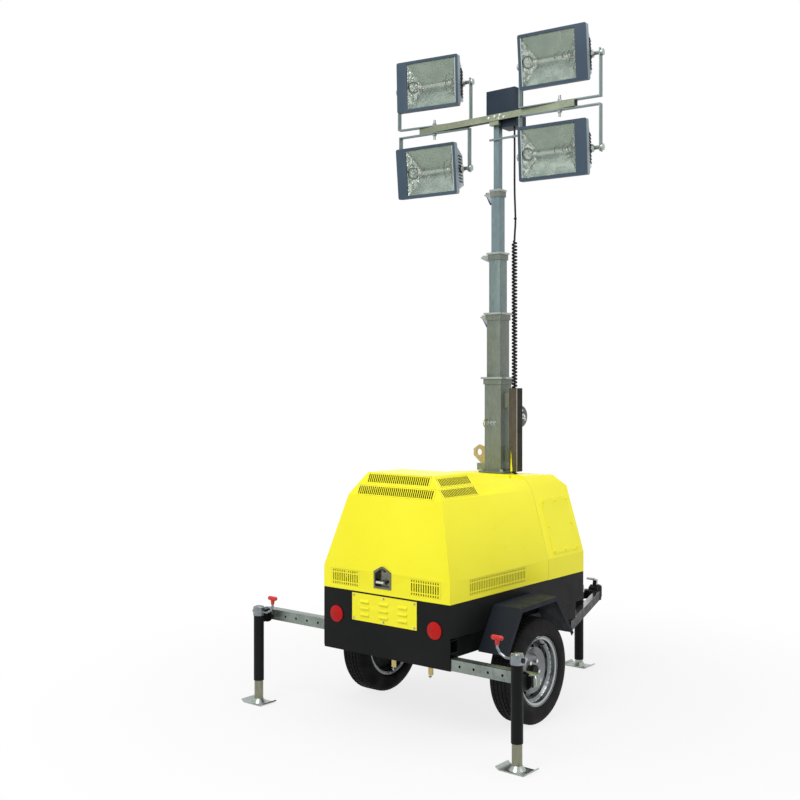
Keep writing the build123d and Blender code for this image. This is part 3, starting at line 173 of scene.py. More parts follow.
def spread(tree, source, low, high):
    """A texture's value mapped to a range."""
    node = tree.nodes.new("ShaderNodeMapRange")
    node.inputs["From Min"].default_value = 0.3
    node.inputs["From Max"].default_value = 0.7
    node.inputs["To Min"].default_value = low
    node.inputs["To Max"].default_value = high
    tree.links.new(source, node.inputs["Value"])
    return node.outputs["Result"]


def bump(tree, shader, height, distance, strength=1.0):
    node = tree.nodes.new("ShaderNodeBump")
    node.inputs["Distance"].default_value = distance
    node.inputs["Strength"].default_value = strength
    tree.links.new(height, node.inputs["Height"])
    tree.links.new(node.outputs["Normal"], shader.inputs["Normal"])


def painted(name, colour, second, rough, grain=420, depth=0.00012, coat=0.0, patch=2.5, metal=0.0, shine=0.3):
    """Paint or moulded plastic: broad tone changes, uneven gloss and a fine surface."""
    tree, shader = new_material(name)
    broad = texture(tree, "ShaderNodeTexNoise", patch, Detail=5.0)
    fine = texture(tree, "ShaderNodeTexNoise", grain, Detail=3.0)
    tone = ramp(tree, broad.outputs["Fac"], [(0.35, colour), (0.68, second)])
    tree.links.new(tone.outputs["Color"], shader.inputs["Base Color"])
    gloss = texture(tree, "ShaderNodeTexNoise", patch * 6, Detail=6.0)
    tree.links.new(spread(tree, gloss.outputs["Fac"], rough * 0.85, rough * 1.2), shader.inputs["Roughness"])
    bump(tree, shader, fine.outputs["Fac"], depth)
    shader.inputs["Coat Weight"].default_value = coat
    shader.inputs["Coat Roughness"].default_value = 0.12
    shader.inputs["Specular IOR Level"].default_value = shine
    shader.inputs["Metallic"].default_value = metal


def metal(name, colour, second, rough, spangle=90, stretch=(1, 1, 1), metallic=0.85, depth=0.00008):
    """Plated or bare steel: crystal spangle, streaks and uneven gloss."""
    tree, shader = new_material(name)
    cells = texture(tree, "ShaderNodeTexVoronoi", spangle, stretch)
    streaks = texture(tree, "ShaderNodeTexNoise", 9, stretch, Detail=7.0)
    cell_tone = ramp(tree, cells.outputs["Color"], [(0.1, colour), (0.9, second)])
    streak_tone = ramp(tree, streaks.outputs["Fac"], [(0.35, colour), (0.7, second)])
    mix = tree.nodes.new("ShaderNodeMix")
    mix.data_type = "RGBA"
    mix.inputs["Factor"].default_value = 0.55
    tree.links.new(cell_tone.outputs["Color"], mix.inputs["A"])
    tree.links.new(streak_tone.outputs["Color"], mix.inputs["B"])
    tree.links.new(mix.outputs["Result"], shader.inputs["Base Color"])
    gloss = spread(tree, streaks.outputs["Fac"], rough * 0.8, rough * 1.25)
    tree.links.new(gloss, shader.inputs["Roughness"])
    bump(tree, shader, streaks.outputs["Fac"], depth)
    shader.inputs["Metallic"].default_value = metallic


def hammered(name, colour, second, depth, patch=14):
    """Dimpled bright aluminium sheet of the reflectors."""
    tree, shader = new_material(name)
    dimples = texture(tree, "ShaderNodeTexVoronoi", 75)
    broad = texture(tree, "ShaderNodeTexNoise", patch, Detail=3.0)
    tone = ramp(tree, broad.outputs["Fac"], [(0.3, colour), (0.75, second)])
    tree.links.new(tone.outputs["Color"], shader.inputs["Base Color"])
    tree.links.new(spread(tree, broad.outputs["Fac"], 0.16, 0.34), shader.inputs["Roughness"])
    bump(tree, shader, dimples.outputs["Distance"], depth)
    shader.inputs["Metallic"].default_value = 0.95


def glassy(name, colour, alpha, rough=0.03):
    """Thin clear cover, tinted by its own colour."""
    tree, shader = new_material(name)
    smear = texture(tree, "ShaderNodeTexNoise", 9, Detail=4.0)
    tone = ramp(tree, smear.outputs["Fac"], [(0.3, colour), (0.8, tuple(c * 0.9 for c in colour))])
    tree.links.new(tone.outputs["Color"], shader.inputs["Base Color"])
    tree.links.new(spread(tree, smear.outputs["Fac"], rough, rough * 3), shader.inputs["Roughness"])
    shader.inputs["Alpha"].default_value = alpha
    shader.inputs["IOR"].default_value = 1.5


# Body, chassis and stands.
painted("yellow_paint", (0.92, 0.85, 0.022), (0.95, 0.89, 0.032), 0.32, coat=0.08, shine=0.2)
painted("black_paint", (0.006, 0.0065, 0.0065), (0.010, 0.011, 0.0105), 0.42, depth=0.0002, shine=0.1)
painted("fender_black", (0.013, 0.017, 0.023), (0.018, 0.022, 0.028), 0.55, depth=0.0002, shine=0.1)
# Lighter, glossier black for the drawbar legs' upward faces: painted light on their tops.
painted("leg_black_lit_top", (0.012, 0.016, 0.020), (0.020, 0.026, 0.032), 0.16, depth=0.0002, coat=0.5, shine=0.5)
painted("engine_grey", (0.012, 0.013, 0.014), (0.025, 0.026, 0.028), 0.6, patch=12, shine=0.15)
painted("black_plastic", (0.009, 0.010, 0.012), (0.015, 0.017, 0.020), 0.46, depth=0.0003, shine=0.15)
painted("red_plastic", (0.56, 0.014, 0.011), (0.68, 0.022, 0.016), 0.26, coat=0.3)
painted("red_lens", (0.42, 0.007, 0.007), (0.52, 0.010, 0.009), 0.30, coat=0.0, patch=16, shine=0.15)
metal("arm_zinc", (0.17, 0.20, 0.18), (0.30, 0.34, 0.31), 0.30, spangle=70)
metal("leg_zinc", (0.19, 0.195, 0.135), (0.30, 0.305, 0.22), 0.34, stretch=(1, 1, 0.3))
metal("head_zinc", (0.13, 0.15, 0.16), (0.34, 0.37, 0.39), 0.16, spangle=60, metallic=1.0)

# Wheels.
painted("tyre", (0.008, 0.0085, 0.008), (0.014, 0.0145, 0.014), 0.72, grain=260, depth=0.0004, shine=0.12)
painted("rim_silver", (0.13, 0.14, 0.145), (0.20, 0.21, 0.215), 0.24, metal=0.9, coat=0.1)
# Bright paint for the rim's lip: a painted highlight ring.
painted("rim_lip_highlight", (0.30, 0.32, 0.33), (0.40, 0.42, 0.43), 0.16, metal=1.0)

# Mast and crossbar.
metal("galvanised", (0.145, 0.20, 0.195), (0.235, 0.30, 0.29), 0.46, stretch=(1, 1, 0.35), metallic=0.6)
metal("mast_blue", (0.135, 0.195, 0.21), (0.22, 0.29, 0.31), 0.44, stretch=(1, 1, 0.35), metallic=0.6)
metal("mast_low", (0.145, 0.17, 0.145), (0.235, 0.265, 0.225), 0.50, stretch=(1, 1, 0.35), metallic=0.55)
metal("bar_zinc", (0.21, 0.24, 0.165), (0.32, 0.35, 0.25), 0.42)
# darker than the web: painted shade on the trough's outer faces
painted("trough_grey", (0.022, 0.021, 0.015), (0.034, 0.033, 0.025), 0.6, shine=0.1, patch=14)
metal("trough_web", (0.085, 0.070, 0.050), (0.125, 0.108, 0.082), 0.42, stretch=(1, 1, 0.4))
painted("gear_grey", (0.075, 0.085, 0.085), (0.13, 0.145, 0.15), 0.35, shine=0.3, patch=12)
painted("box_slate", (0.018, 0.030, 0.048), (0.028, 0.042, 0.062), 0.46, shine=0.15)
painted("blue_plastic", (0.008, 0.018, 0.16), (0.014, 0.028, 0.24), 0.35, coat=0.2)
painted("cord_black", (0.007, 0.007, 0.008), (0.012, 0.012, 0.013), 0.48, patch=30, shine=0.2)

# Plated fittings.
metal("zinc", (0.30, 0.33, 0.31), (0.46, 0.50, 0.47), 0.27, spangle=160)
# Bright plated fittings; the same paint also makes painted highlights: the glint rods by the reflector rings,
# the trough's edge strip and the latch's lip.
metal("bright_zinc_and_highlight", (0.58, 0.60, 0.58), (0.74, 0.76, 0.74), 0.20, spangle=160)
# Yellow-plated zinc; on the lifting eye and the wire hook its gold is a painted reflection of the yellow
# roof.
metal("gold_zinc_and_yellow_reflection", (0.40, 0.31, 0.11), (0.60, 0.48, 0.22), 0.34)
metal("stainless", (0.11, 0.11, 0.08), (0.24, 0.24, 0.20), 0.16, stretch=(1, 1, 9), metallic=1.0)

# Floodlights.
painted("lamp_grey", (0.045, 0.072, 0.103), (0.062, 0.093, 0.130), 0.42, grain=600, shine=0.2)
painted("lamp_edge", (0.020, 0.034, 0.052), (0.030, 0.046, 0.068), 0.42, shine=0.2)
painted("case_grey", (0.24, 0.31, 0.35), (0.34, 0.41, 0.44), 0.40, metal=0.3)
glassy("lamp_glass", (0.62, 0.72, 0.66), 0.10)
# Reflector sheets: upper slope darker and lower slope lighter as painted reflection of ground and sky; the
# ends' wide dark-to-white tone gives painted glints.
hammered("mirror_high", (0.155, 0.205, 0.155), (0.28, 0.335, 0.25), 0.0014)
hammered("mirror_low", (0.19, 0.25, 0.22), (0.38, 0.44, 0.375), 0.0012)
hammered("mirror_end", (0.05, 0.075, 0.06), (0.80, 0.86, 0.76), 0.005, 46)
glassy("bulb_glass", (0.70, 0.74, 0.66), 0.30, rough=0.05)
painted("ceramic", (0.62, 0.60, 0.54), (0.70, 0.68, 0.62), 0.5, patch=40)
painted("wire_grey", (0.46, 0.54, 0.52), (0.56, 0.62, 0.60), 0.5, patch=30)


# Mesh building.

def link(obj):
    bpy.context.scene.collection.objects.link(obj)
    return obj


def soften(obj, width, segments=2):
    """Small rounds along the sharp edges."""
    bevel = obj.modifiers.new("edges", "BEVEL")
    bevel.width = width
    bevel.segments = segments
    bevel.limit_method = "ANGLE"
    bevel.angle_limit = EDGE_ANGLE
    bevel.harden_normals = True
    bevel.miter_outer = "MITER_ARC"


def place_piece(bm, name, paints, body, slot, bevel, replaces):
    for face in bm.faces:
        face.smooth = True
    mesh = bpy.data.meshes.new(name)
    bm.to_mesh(mesh)
    bm.free()
    for paint in paints:
        mesh.materials.append(PAINTS[paint])
    mesh.set_sharp_from_angle(angle=SMOOTH_ANGLE)
    obj = link(bpy.data.objects.new(name, mesh))
    if bevel:
        soften(obj, bevel)
    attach(obj, body)
    if replaces:
        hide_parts(*replaces)
    return obj


class Build:
    """Collects solids in one mesh. Each solid takes the paint and the place that are set before it."""

    def __init__(self, paint, place=None):
        self.bm = bmesh.new()
        self.place = place or Matrix.Identity(4)
        self.paints = [paint]
        self.index = 0

    def paint(self, name):
        if name not in self.paints:
            self.paints.append(name)
        self.index = self.paints.index(name)
        return self

    def add(self, points, faces):
        made = [self.bm.verts.new(self.place @ Vector(point)) for point in points]
        for corners in faces:
            face = self.bm.faces.new([made[i] for i in corners])
            face.material_index = self.index

    def prism(self, axis, outline, low, high):
        """Outline of the two other axes, in their alphabetical order, swept along an axis."""
        spot = "xyz".index(axis)
        points = []
        for level in (low, high):
            for u, v in outline:
                point = [u, v]
                point.insert(spot, level)
                points.append(point)
        n = len(outline)
        sides = [(i, (i + 1) % n, n + (i + 1) % n, n + i) for i in range(n)]
        self.add(points, [tuple(range(n - 1, -1, -1)), tuple(range(n, 2 * n)), *sides])

    def box(self, x, y, z):
        self.prism("z", [(x[0], y[0]), (x[1], y[0]), (x[1], y[1]), (x[0], y[1])], *z)

    def lathe(self, start, way, profile, sides=32, loop=False):
        """Turned form from (radius, distance) pairs about a line; loop closes the profile on itself."""
        turn = Vector((0, 0, 1)).rotation_difference(Vector(way)).to_matrix()
        start = Vector(start)
        points = []
        for radius, along in profile:
            for step in range(sides):
                angle = 2 * math.pi * step / sides
                spot = Vector((radius * math.cos(angle), radius * math.sin(angle), along))
                points.append(start + turn @ spot)
        rings = len(profile)
        faces = []
        for ring in range(rings if loop else rings - 1):
            low, high = ring * sides, (ring + 1) % rings * sides
            for step in range(sides):
                nearby = (step + 1) % sides
                faces.append((low + step, low + nearby, high + nearby, high + step))
        if not loop:
            faces.append(tuple(range(sides - 1, -1, -1)))
            faces.append(tuple(range((rings - 1) * sides, rings * sides)))
        self.add(points, faces)

    def ring(self, start, way, radii, span, sides):
        """Square-edged ring from (inner, outer) radii and its (first, last) distance along a line."""
        (inner, outer), (first, last) = radii, span
        profile = [(inner, first), (outer, first), (outer, last), (inner, last)]
        self.lathe(start, way, profile, sides, True)

    def rod(self, start, end, diameter, sides=24):
        way = Vector(end) - Vector(start)
        self.lathe(start, way, [(diameter / 2, 0), (diameter / 2, way.length)], sides)

    def bolt(self, at, way, across, washer=True):
        """Hexagon head on a washer, its seat at a point."""
        at, way = Vector(at), Vector(way).normalized()
        seat = at + way * (across * 0.12)
        if washer:
            self.rod(at, seat, across * 1.9, 20)
        head = [(0.57, 0), (0.57, 0.5), (0.47, 0.62)]
        self.lathe(seat, way, [(across * radius, across * along) for radius, along in head], 6)

    def screw(self, at, way, across):
        """Low round head."""
        shoulder = [(across / 2, 0), (across / 2, across * 0.12)]
        self.lathe(at, way, shoulder + [(across * 0.36, across * 0.32), (0.0004, across * 0.38)], 14)

    def wire(self, points, diameter, sides=10):
        """Tube of one thickness along a line of points."""
        points = [Vector(point) for point in points]
        ways = [(b - a).normalized() for a, b in zip(points, points[1:])]
        tangents = [ways[0]] + [(a + b).normalized() for a, b in zip(ways, ways[1:])] + [ways[-1]]
        across = tangents[0].orthogonal().normalized()
        ring_points = []
        for index, (point, tangent) in enumerate(zip(points, tangents)):
            if index:
                across = tangents[index - 1].rotation_difference(tangent) @ across
            other = tangent.cross(across)
            for step in range(sides):
                angle = 2 * math.pi * step / sides
                offset = (across * math.cos(angle) + other * math.sin(angle)) * (diameter / 2)
                ring_points.append(point + offset)
        faces = []
        for ring in range(len(points) - 1):
            for step in range(sides):
                nearby = (step + 1) % sides
                low, high = ring * sides, (ring + 1) * sides
                faces.append((low + step, low + nearby, high + nearby, high + step))
        faces.append(tuple(range(sides - 1, -1, -1)))
        faces.append(tuple(range((len(points) - 1) * sides, len(points) * sides)))
        self.add(ring_points, faces)

    def finish(self, name, body, slot, bevel=0.0, replaces=()):
        bmesh.ops.recalc_face_normals(self.bm, faces=self.bm.faces)
        return place_piece(self.bm, name, self.paints, body, slot, bevel, replaces)


def drawn_area(bm, bevel):
    """Area of a mesh's triangles as they are drawn, with its softened edges."""
    mesh = bpy.data.meshes.new("trial")
    bm.to_mesh(mesh)
    trial = link(bpy.data.objects.new("trial", mesh))
    if bevel:
        soften(trial, bevel)
    drawn = trial.evaluated_get(bpy.context.evaluated_depsgraph_get()).data
    drawn.calc_loop_triangles()
    area = sum(triangle.area for triangle in drawn.loop_triangles)
    bpy.data.objects.remove(trial)
    bpy.data.meshes.remove(mesh)
    return area


def joined_mesh(mesh, bevel, spare):
    """A welded copy with its flat faces joined, or only welded where joined faces would cover an opening."""
    for join in (True, False):
        bm = bmesh.new()
        bm.from_mesh(mesh)
        bmesh.ops.remove_doubles(bm, verts=bm.verts, dist=WELD)
        if not join:
            return bm
        area = sum(face.calc_area() for face in bm.faces)
        bmesh.ops.dissolve_limit(bm, angle_limit=FLAT_ANGLE, verts=bm.verts, edges=bm.edges)
        if drawn_area(bm, bevel) < area * (1 + spare):
            return bm
        bm.free()


def dress(node, bevel=0.0015, paints=None, choose=None, name=None, spare=0.0008):
    """A cleaned copy of a node's mesh with softened edges; choose picks a paint for each face."""
    bm = joined_mesh(NODES[node].data, bevel, spare)
    for face in bm.faces:
        face.material_index = choose(face.calc_center_median(), face.normal) if choose else 0
    paints = paints or [SLOT_OF[node]]
    return place_piece(bm, name or node + "_skin", paints, BODY_OF[node], SLOT_OF[node], bevel, (node,))


def smooth_line(points, steps=6):
    """Points along a NURBS spline that has a route's points as its control points."""
    curve = bpy.data.curves.new("route", "CURVE")
    curve.dimensions = "3D"
    curve.resolution_u = steps
    spline = curve.splines.new("NURBS")
    spline.points.add(len(points) - 1)
    for spot, point in zip(spline.points, points):
        spot.co = (*point, 1)
    spline.order_u = 3
    spline.use_endpoint_u = True
    route = link(bpy.data.objects.new("route", curve))
    mesh = bpy.data.meshes.new_from_object(route)
    line = [vertex.co.copy() for vertex in mesh.vertices]
    bpy.data.objects.remove(route)
    bpy.data.meshes.remove(mesh)
    return line


# The free cord beside the mast: a curly part, then a straight part up to the junction box.
CORD_D = 0.012
CURLY_X = 0.122
CURLY_LOW, CURLY_HIGH = 0.650, 2.800
CORD_TOP = 3.470
HELIX_R = 0.013
HELIX_TURNS = 100
TURN_POINTS = 12
LEAD = 0.030


def cord_route():
    """Straight lead, helix that opens and closes over its end turns, then the hanging stretch."""
    points = [(CURLY_X, MAST_Y, CURLY_LOW), (CURLY_X, MAST_Y, CURLY_LOW + LEAD / 2)]
    count = HELIX_TURNS * TURN_POINTS
    rise = CURLY_HIGH - CURLY_LOW - 2 * LEAD
    for step in range(count + 1):
        angle = 2 * math.pi * step / TURN_POINTS
        opening = min(1.0, step / TURN_POINTS, (count - step) / TURN_POINTS)
        radius = HELIX_R * opening
        z = CURLY_LOW + LEAD + rise * step / count
        points.append((CURLY_X + radius * math.cos(angle), MAST_Y + radius * math.sin(angle), z))
    hanging = [(0.004, -0.002, 2.82), (0.007, 0.001, 2.88), (0.003, 0.003, 2.96), (0.0, 0.001, 3.06),
               (0.0, 0.0, 3.18), (0.001, 0.0, 3.32), (0.0, 0.0, 3.44), (0.0, 0.0, CORD_TOP)]
    points += [(CURLY_X + dx, MAST_Y + dy, z) for dx, dy, z in hanging]
    return points


def line_length(points):
    return sum((b - a).length for a, b in zip(points, points[1:]))


def make_cord():
    line = smooth_line(cord_route(), steps=3)
    build = Build("cord_black")
    build.wire(line, CORD_D, 8)
    bmesh.ops.recalc_face_normals(build.bm, faces=build.bm.faces)
    for face in build.bm.faces:
        face.smooth = True
    mesh = bpy.data.meshes.new("mast_cord")
    build.bm.to_mesh(mesh)
    build.bm.free()
    mesh.materials.append(PAINTS["cord_black"])
    cord = link(bpy.data.objects.new("mast_cord", mesh))
    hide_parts("curly_cord", "mast_cable")
    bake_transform(cord)
    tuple(line[0])
    line_length(line)


make_cord()


# Places read from the frame.

def joint_place(name):
    """A joint's point and axis at rest."""
    row = JOINTS[name]
    return Vector(row["pos_m"]), Vector(row["axis"])


def main_face(node, way):
    """Centre and normal of a node's largest flat face that looks along a direction."""
    mesh = NODES[node].data
    facing = [face for face in mesh.polygons if face.normal.dot(Vector(way)) > ROUGHLY]
    normal = max(facing, key=lambda face: face.area).normal.copy()
    facing = [face for face in facing if face.normal.dot(normal) > SAME_WAY]
    level = max(face.center.dot(normal) for face in facing)
    flat = [face for face in facing if level - face.center.dot(normal) < 1e-4]
    points = [mesh.vertices[index].co for face in flat for index in face.vertices]
    low = Vector([min(point[axis] for point in points) for axis in range(3)])
    high = Vector([max(point[axis] for point in points) for axis in range(3)])
    return (low + high) / 2, normal


def sheet_way(node, way):
    """Normal with the most area among a node's faces that look roughly along a direction."""
    areas = {}
    for face in NODES[node].data.polygons:
        if face.normal.dot(Vector(way)) > ROUGHLY:
            key = tuple(round(part, 2) for part in face.normal)
            areas[key] = areas.get(key, 0) + face.area
    return Vector(max(areas, key=areas.get)).normalized()


def inside_black(node):
    """Picks the second paint for a shell's inner faces."""
    middle = INSIDE[node]
    return lambda centre, normal: int(normal.dot(centre - middle) < 0)


def lock_paint(name):
    """Picks zinc for a section's collar and lock, the lever's own paint, and the lowest section's darker
    paint for a band under the collar, a painted shadow beneath it.
    """
    half, top = SECTION_HALF[name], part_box(name)[1].z
    head_low = top - COLLAR_T - LOCK_HEAD_H + 0.002

    def choose(centre, normal):
        if centre.z > top - COLLAR_T - 0.0005:
            return 1
        if centre.x > -half - 0.003:
            outside = max(abs(centre.x), abs(centre.y - MAST_Y)) > half + 0.001
            # band of the lock head under the collar: darker paint as a painted shadow
            return 3 if centre.z > head_low and outside else 0
        if abs(centre.y - MAST_Y) < LOCK_LEVER_HALF and centre.z < head_low:
            return 2
        return 1
    return choose


def open_web(node, sheets):
    """Picks black for the walls of the slots and the inner faces of slotted sheets, painted shade that makes
    the slots read dark.
    """
    ways = [sheet_way(node, way) for way in sheets]
    return lambda centre, normal: int(max(normal.dot(way) for way in ways) < SLOT_WALL)


def bar_paint(centre, normal):
    """Picks black for the bar's underside, painted shade of its open channel, and zinc for its studs."""
    if abs(centre.z - BAR_Z) > BAR_HALF + 0.0008:
        return 1
    # downward faces: black as painted shade
    return 2 if normal.z < -0.9 else 0


def trough_paint(centre, normal):
    """Picks the brown web for the rear face, the mast's own grey for the brackets, and dark for the rest,
    painted shade on the trough's outer faces.
    """
    if centre.x < TROUGH_X:
        return 2
    return int(normal.y < -0.5)


def gear_paint(centre, normal):
    """Picks bright zinc for the winch's middle boss."""
    return int(centre.x > WINCH_HIGH.x - 0.0085)


# Picks the second paint for upward faces; on the drawbar legs that paint is painted light on the tops.
def faces_up(centre, normal):
    return int(normal.z > 0.9)


def above(level, beyond=None):
    """Picks the second paint above a level, or past an x on the inner side."""
    return lambda centre, normal: int(centre.z > level or (beyond is not None and centre.x < beyond))


def rim_paint(side):
    """Picks dark for the hub cap and the barrel, a painted highlight for the lip, and bright zinc for the
    wheel nuts.
    """
    hub = joint_place("wheel_spin_" + side)[0]

    def choose(centre, normal):
        spot = centre - hub
        out = spot.x * SIDES[side]
        near = math.hypot(spot.y, spot.z)
        if near < HUB_CAP_R or out < 0.001 and near < BARREL_R:
            return 1
        if NUT_RING[0] < near < NUT_RING[1] and out > 0.0235:
            return 3
        return 2 if near > LIP_RING_R and out > 0.03 else 0
    return choose


# Bodywork, chassis and mast: the frame's own solids with softened edges and their finishes.
for node, width in (
    ("base_tub", 0.002), ("access_panel", 0.001),
    ("chassis_rails", 0.003), ("chassis_crossmembers", 0.003), ("outrigger_sleeves", 0.001),
    ("axle", 0.003), ("engine_block", 0.01),
    ("hood_latch", 0.001), ("tail_lamps", 0.001), ("cable_support", 0.001), ("front_jack_leg", 0.0012),
):
    dress(node, width)

for node in ("hood_shell", "front_cowl"):
    dress(node, 0.003, ["yellow_paint", "black_plastic"], inside_black(node), spare=0.05)

for node, body_paint, lever in (
    ("mast_1", "mast_low", "zinc"), ("mast_2", "mast_low", "blue_plastic"),
    ("mast_3", "galvanised", "zinc"), ("mast_4", "mast_blue", "blue_plastic"),
):
    dress(node, 0.001, [body_paint, "zinc", lever, "mast_low"], lock_paint(node))
dress("mast_5", 0.0015, ["mast_blue"])
for node in ("hood_hinge_pins", "hood_hinge_leaves"):
    dress(node, 0.001, ["yellow_paint"])
for side in SIDES:
    dress("mudguard_" + side, 0.001, ["fender_black"])
    # upward faces get the lighter black as painted light
    dress("drawbar_leg_" + side, 0.004, ["black_paint", "leg_black_lit_top"], faces_up)
for node, lean in (("upper_grilles", 1), ("lower_vents", 0)):
    sheets = [(0, -1, lean), (1, 0, lean), (-1, 0, lean)]
    # slot walls and inner faces: black as painted shade
    dress(node, 0, ["yellow_paint", "black_plastic"], open_web(node, sheets))
dress("winch", 0.0015, ["gear_grey", "bright_zinc_and_highlight"], gear_paint)
dress("plate_panel", 0)
dress("lamp_bar", 0.0015, ["bar_zinc", "zinc", "black_plastic"], bar_paint)
dress("junction_box", 0.003, ["box_slate"])
# lifting eye: galvanised steel whose gold tone is a painted reflection of the yellow roof
dress("lifting_eye", 0.0015, ["gold_zinc_and_yellow_reflection"])
dress("cable_trough", 0.0008, ["trough_grey", "trough_web", "mast_low"], trough_paint)
dress("tow_coupling", 0.003, ["black_paint", "zinc"], above(COUPLING_TOP_Z))
dress("front_jack", 0.0012, ["black_paint", "zinc"], above(FRONT_JACK_HEAD_Z, FRONT_JACK_X - 0.034))

for side in SIDES:
    dress("wheel_rim_" + side, 0.0012, RIM_PAINTS, rim_paint(side))
    dress("rear_jack_" + side, 0.0012, ["black_paint", "head_zinc"], above(JACK_HEAD_Z))
    dress("outrigger_arm_" + side, 0.0012, ["arm_zinc"])
    dress("jack_knob_" + side, 0.0012)
    dress("jack_leg_" + side, 0.0012, ["leg_zinc", "zinc"], lambda centre, normal: int(centre.z < FOOT_TOP_Z))


# Tyres with a cut tread, and what the wheels carry.

def tyre_profile():
    """Half of a tyre's section from bead to tread, as (radius, distance from the middle)."""
    half = [(BEAD_R, 0.0), (BEAD_R, LIP_Y), (LIP_R, LIP_Y), (LIP_R + 0.002, LIP_Y + 0.008)]
    half += WALL + SHOULDER
    for rib in reversed(RIBS):
        half += [(TYRE_R, rib + RIB_W), (TYRE_R - TREAD_DEPTH, rib + RIB_W - 0.0008),
                 (TYRE_R - TREAD_DEPTH, rib - RIB_W + 0.0008), (TYRE_R, rib - RIB_W)]
    return half


def make_tyre(side):
    centre = joint_place("wheel_spin_" + side)[0]
    half = tyre_profile()
    section = half + [(radius, -along) for radius, along in reversed(half[1:])]
    steps = TREAD_PITCHES * TREAD_STEPS
    points = []
    for step in range(steps):
        angle = 2 * math.pi * step / steps
        for radius, along in section:
            slot = (step + (3 if along > 0 else 0)) % TREAD_STEPS == 0
            on_tread = radius > TYRE_R - 0.003 and abs(along) > RIBS[0]
            depth = TREAD_DEPTH * 0.8 if slot and on_tread else 0.0
            level = radius - depth
            points.append(centre + Vector((along, level * math.cos(angle), level * math.sin(angle))))
    n = len(section)
    faces = []
    for step in range(steps):
        after = (step + 1) % steps
        for spot in range(n):
            beside = (spot + 1) % n
            faces.append((step * n + spot, step * n + beside, after * n + beside, after * n + spot))
    build = Build("tyre")
    build.add(points, faces)
    return build.finish("tyre_tread_" + side, BODY_OF["tyre_" + side], "tyre", 0, ("tyre_" + side,))


def make_wheel_fittings(side):
    """Dark brake plate behind the rim's holes, two dark lines in its flange as painted shade between the
    lip's ring highlights, and a valve.
    """
    hub = joint_place("wheel_spin_" + side)[0]
    way = (SIDES[side], 0, 0)
    build = Build("engine_grey")
    build.ring(hub, way, (0.062, 0.154), (-0.012, -0.010), 48)
    # two dark lines: painted shade between ring highlights on the rim's flange
    build.ring(hub, way, (0.1860, 0.1885), (0.0675, 0.0705), 96)
    build.ring(hub, way, (0.1745, 0.1775), (0.0590, 0.0645), 96)
    across, up = VALVE_R * math.sin(VALVE_ANGLE), VALVE_R * math.cos(VALVE_ANGLE)
    valve = hub + Vector((SIDES[side] * 0.030, across, up))
    build.paint("black_plastic").rod(valve, valve + Vector((SIDES[side] * 0.026, 0, 0)), 0.009, 12)
    build.finish("wheel_fittings_" + side, BODY_OF["wheel_rim_" + side], "engine_grey")


for side in SIDES:
    make_tyre(side)
    make_wheel_fittings(side)


# Floodlights. Each is drawn about its pivot with the face towards -y.
LAMPS = [("top_left", -1), ("bottom_left", -1), ("top_right", 1), ("bottom_right", 1)]
LAMP_PAINTS = ["lamp_grey", "case_grey", "black_plastic", "zinc", "lamp_edge"]
LAMP_PAINTS += ["mirror_end", "mirror_high", "mirror_low"]
LAMP_FRONT = -0.108
FRAME_BACK = LAMP_FRONT + 0.034
FRAME_HALF = 0.220
BEZEL_SHIFT = 0.028
CASE_HALF, CASE_SLOPE = 0.217, 0.347
FIN_Z = 0.09
YOKE_HALF = 0.2621
PIVOT_R = 0.016
OPENING = (0.174, 0.143)
RECESS_SPARE = 0.002
MIRROR_FRONT, MIRROR_BACK = -0.0975, -0.024
MIRROR_GAP = 0.003
MIRROR_SHEET = 0.001
RIDGE_HALF = 0.104
BULB_Y = -0.050
BULB_HALF = 0.096
BULB_R = (0.004, 0.009, 0.0115)
GASKET_W = 0.005
RING_X, RING_Y = 0.1436, -0.0743
RING_WAY = (0.8, -0.6, 0)
GLINTS = ((0.004, 0.020), (0.010, -0.006), (-0.004, -0.024))
ARC_X, ARC_Y = 0.092, -0.055
ARC_DEEP, ARC_HALF = 0.028, 0.052
HOOK_X = (0.035, 0.085, 0.120)
KNOB = [(0.024, 0), (0.024, 0.010), (0.012, 0.022), (0.012, 0.050)]


def lamp_place(name):
    """Matrix of a floodlight's own frame, from its tilt axis and the way its glass looks."""
    pivot, axis = joint_place("tilt_" + name)
    x_way = axis if axis.x > 0 else -axis
    y_way = -main_face("lamp_glass_" + name, (0, -1, 0))[1]
    z_way = x_way.cross(y_way)
    matrix = Matrix((x_way, y_way, z_way)).transposed().to_4x4()
    matrix.translation = pivot
    return matrix


def lamp_finish(spot, looks, shift):
    """Paint of a housing's face, from its place and normal in the lamp's own frame."""
    beside, above_middle = abs(spot.x - shift), abs(spot.z)
    in_opening = beside < OPENING[0] + RECESS_SPARE and above_middle < OPENING[1] + RECESS_SPARE
    if in_opening and looks.y < -0.2 and LAMP_FRONT + 0.004 < spot.y < MIRROR_BACK + 0.01:
        # recess faces: painted glints on the ends, painted reflection darker on the upper slope and lighter
        # on the lower
        if abs(looks.x) > 0.5:
            return "mirror_end"
        return "mirror_high" if looks.z < 0 else "mirror_low"
    if abs(spot.x) > YOKE_HALF:
        return "zinc"
    if spot.y < LAMP_FRONT + 0.001:
        return "lamp_grey"
    if spot.y < FRAME_BACK - 0.002:
        return "case_grey" if spot.x > FRAME_HALF - 0.004 else "lamp_edge"
    if math.hypot(spot.y, spot.z) < PIVOT_R:
        return "zinc"
    wall = CASE_HALF - CASE_SLOPE * (spot.y - FRAME_BACK)
    # fins beyond the case wall: near-black, painted shade of the slots between them
    return "black_plastic" if abs(spot.x) > wall + 0.0015 and above_middle < FIN_Z else "case_grey"


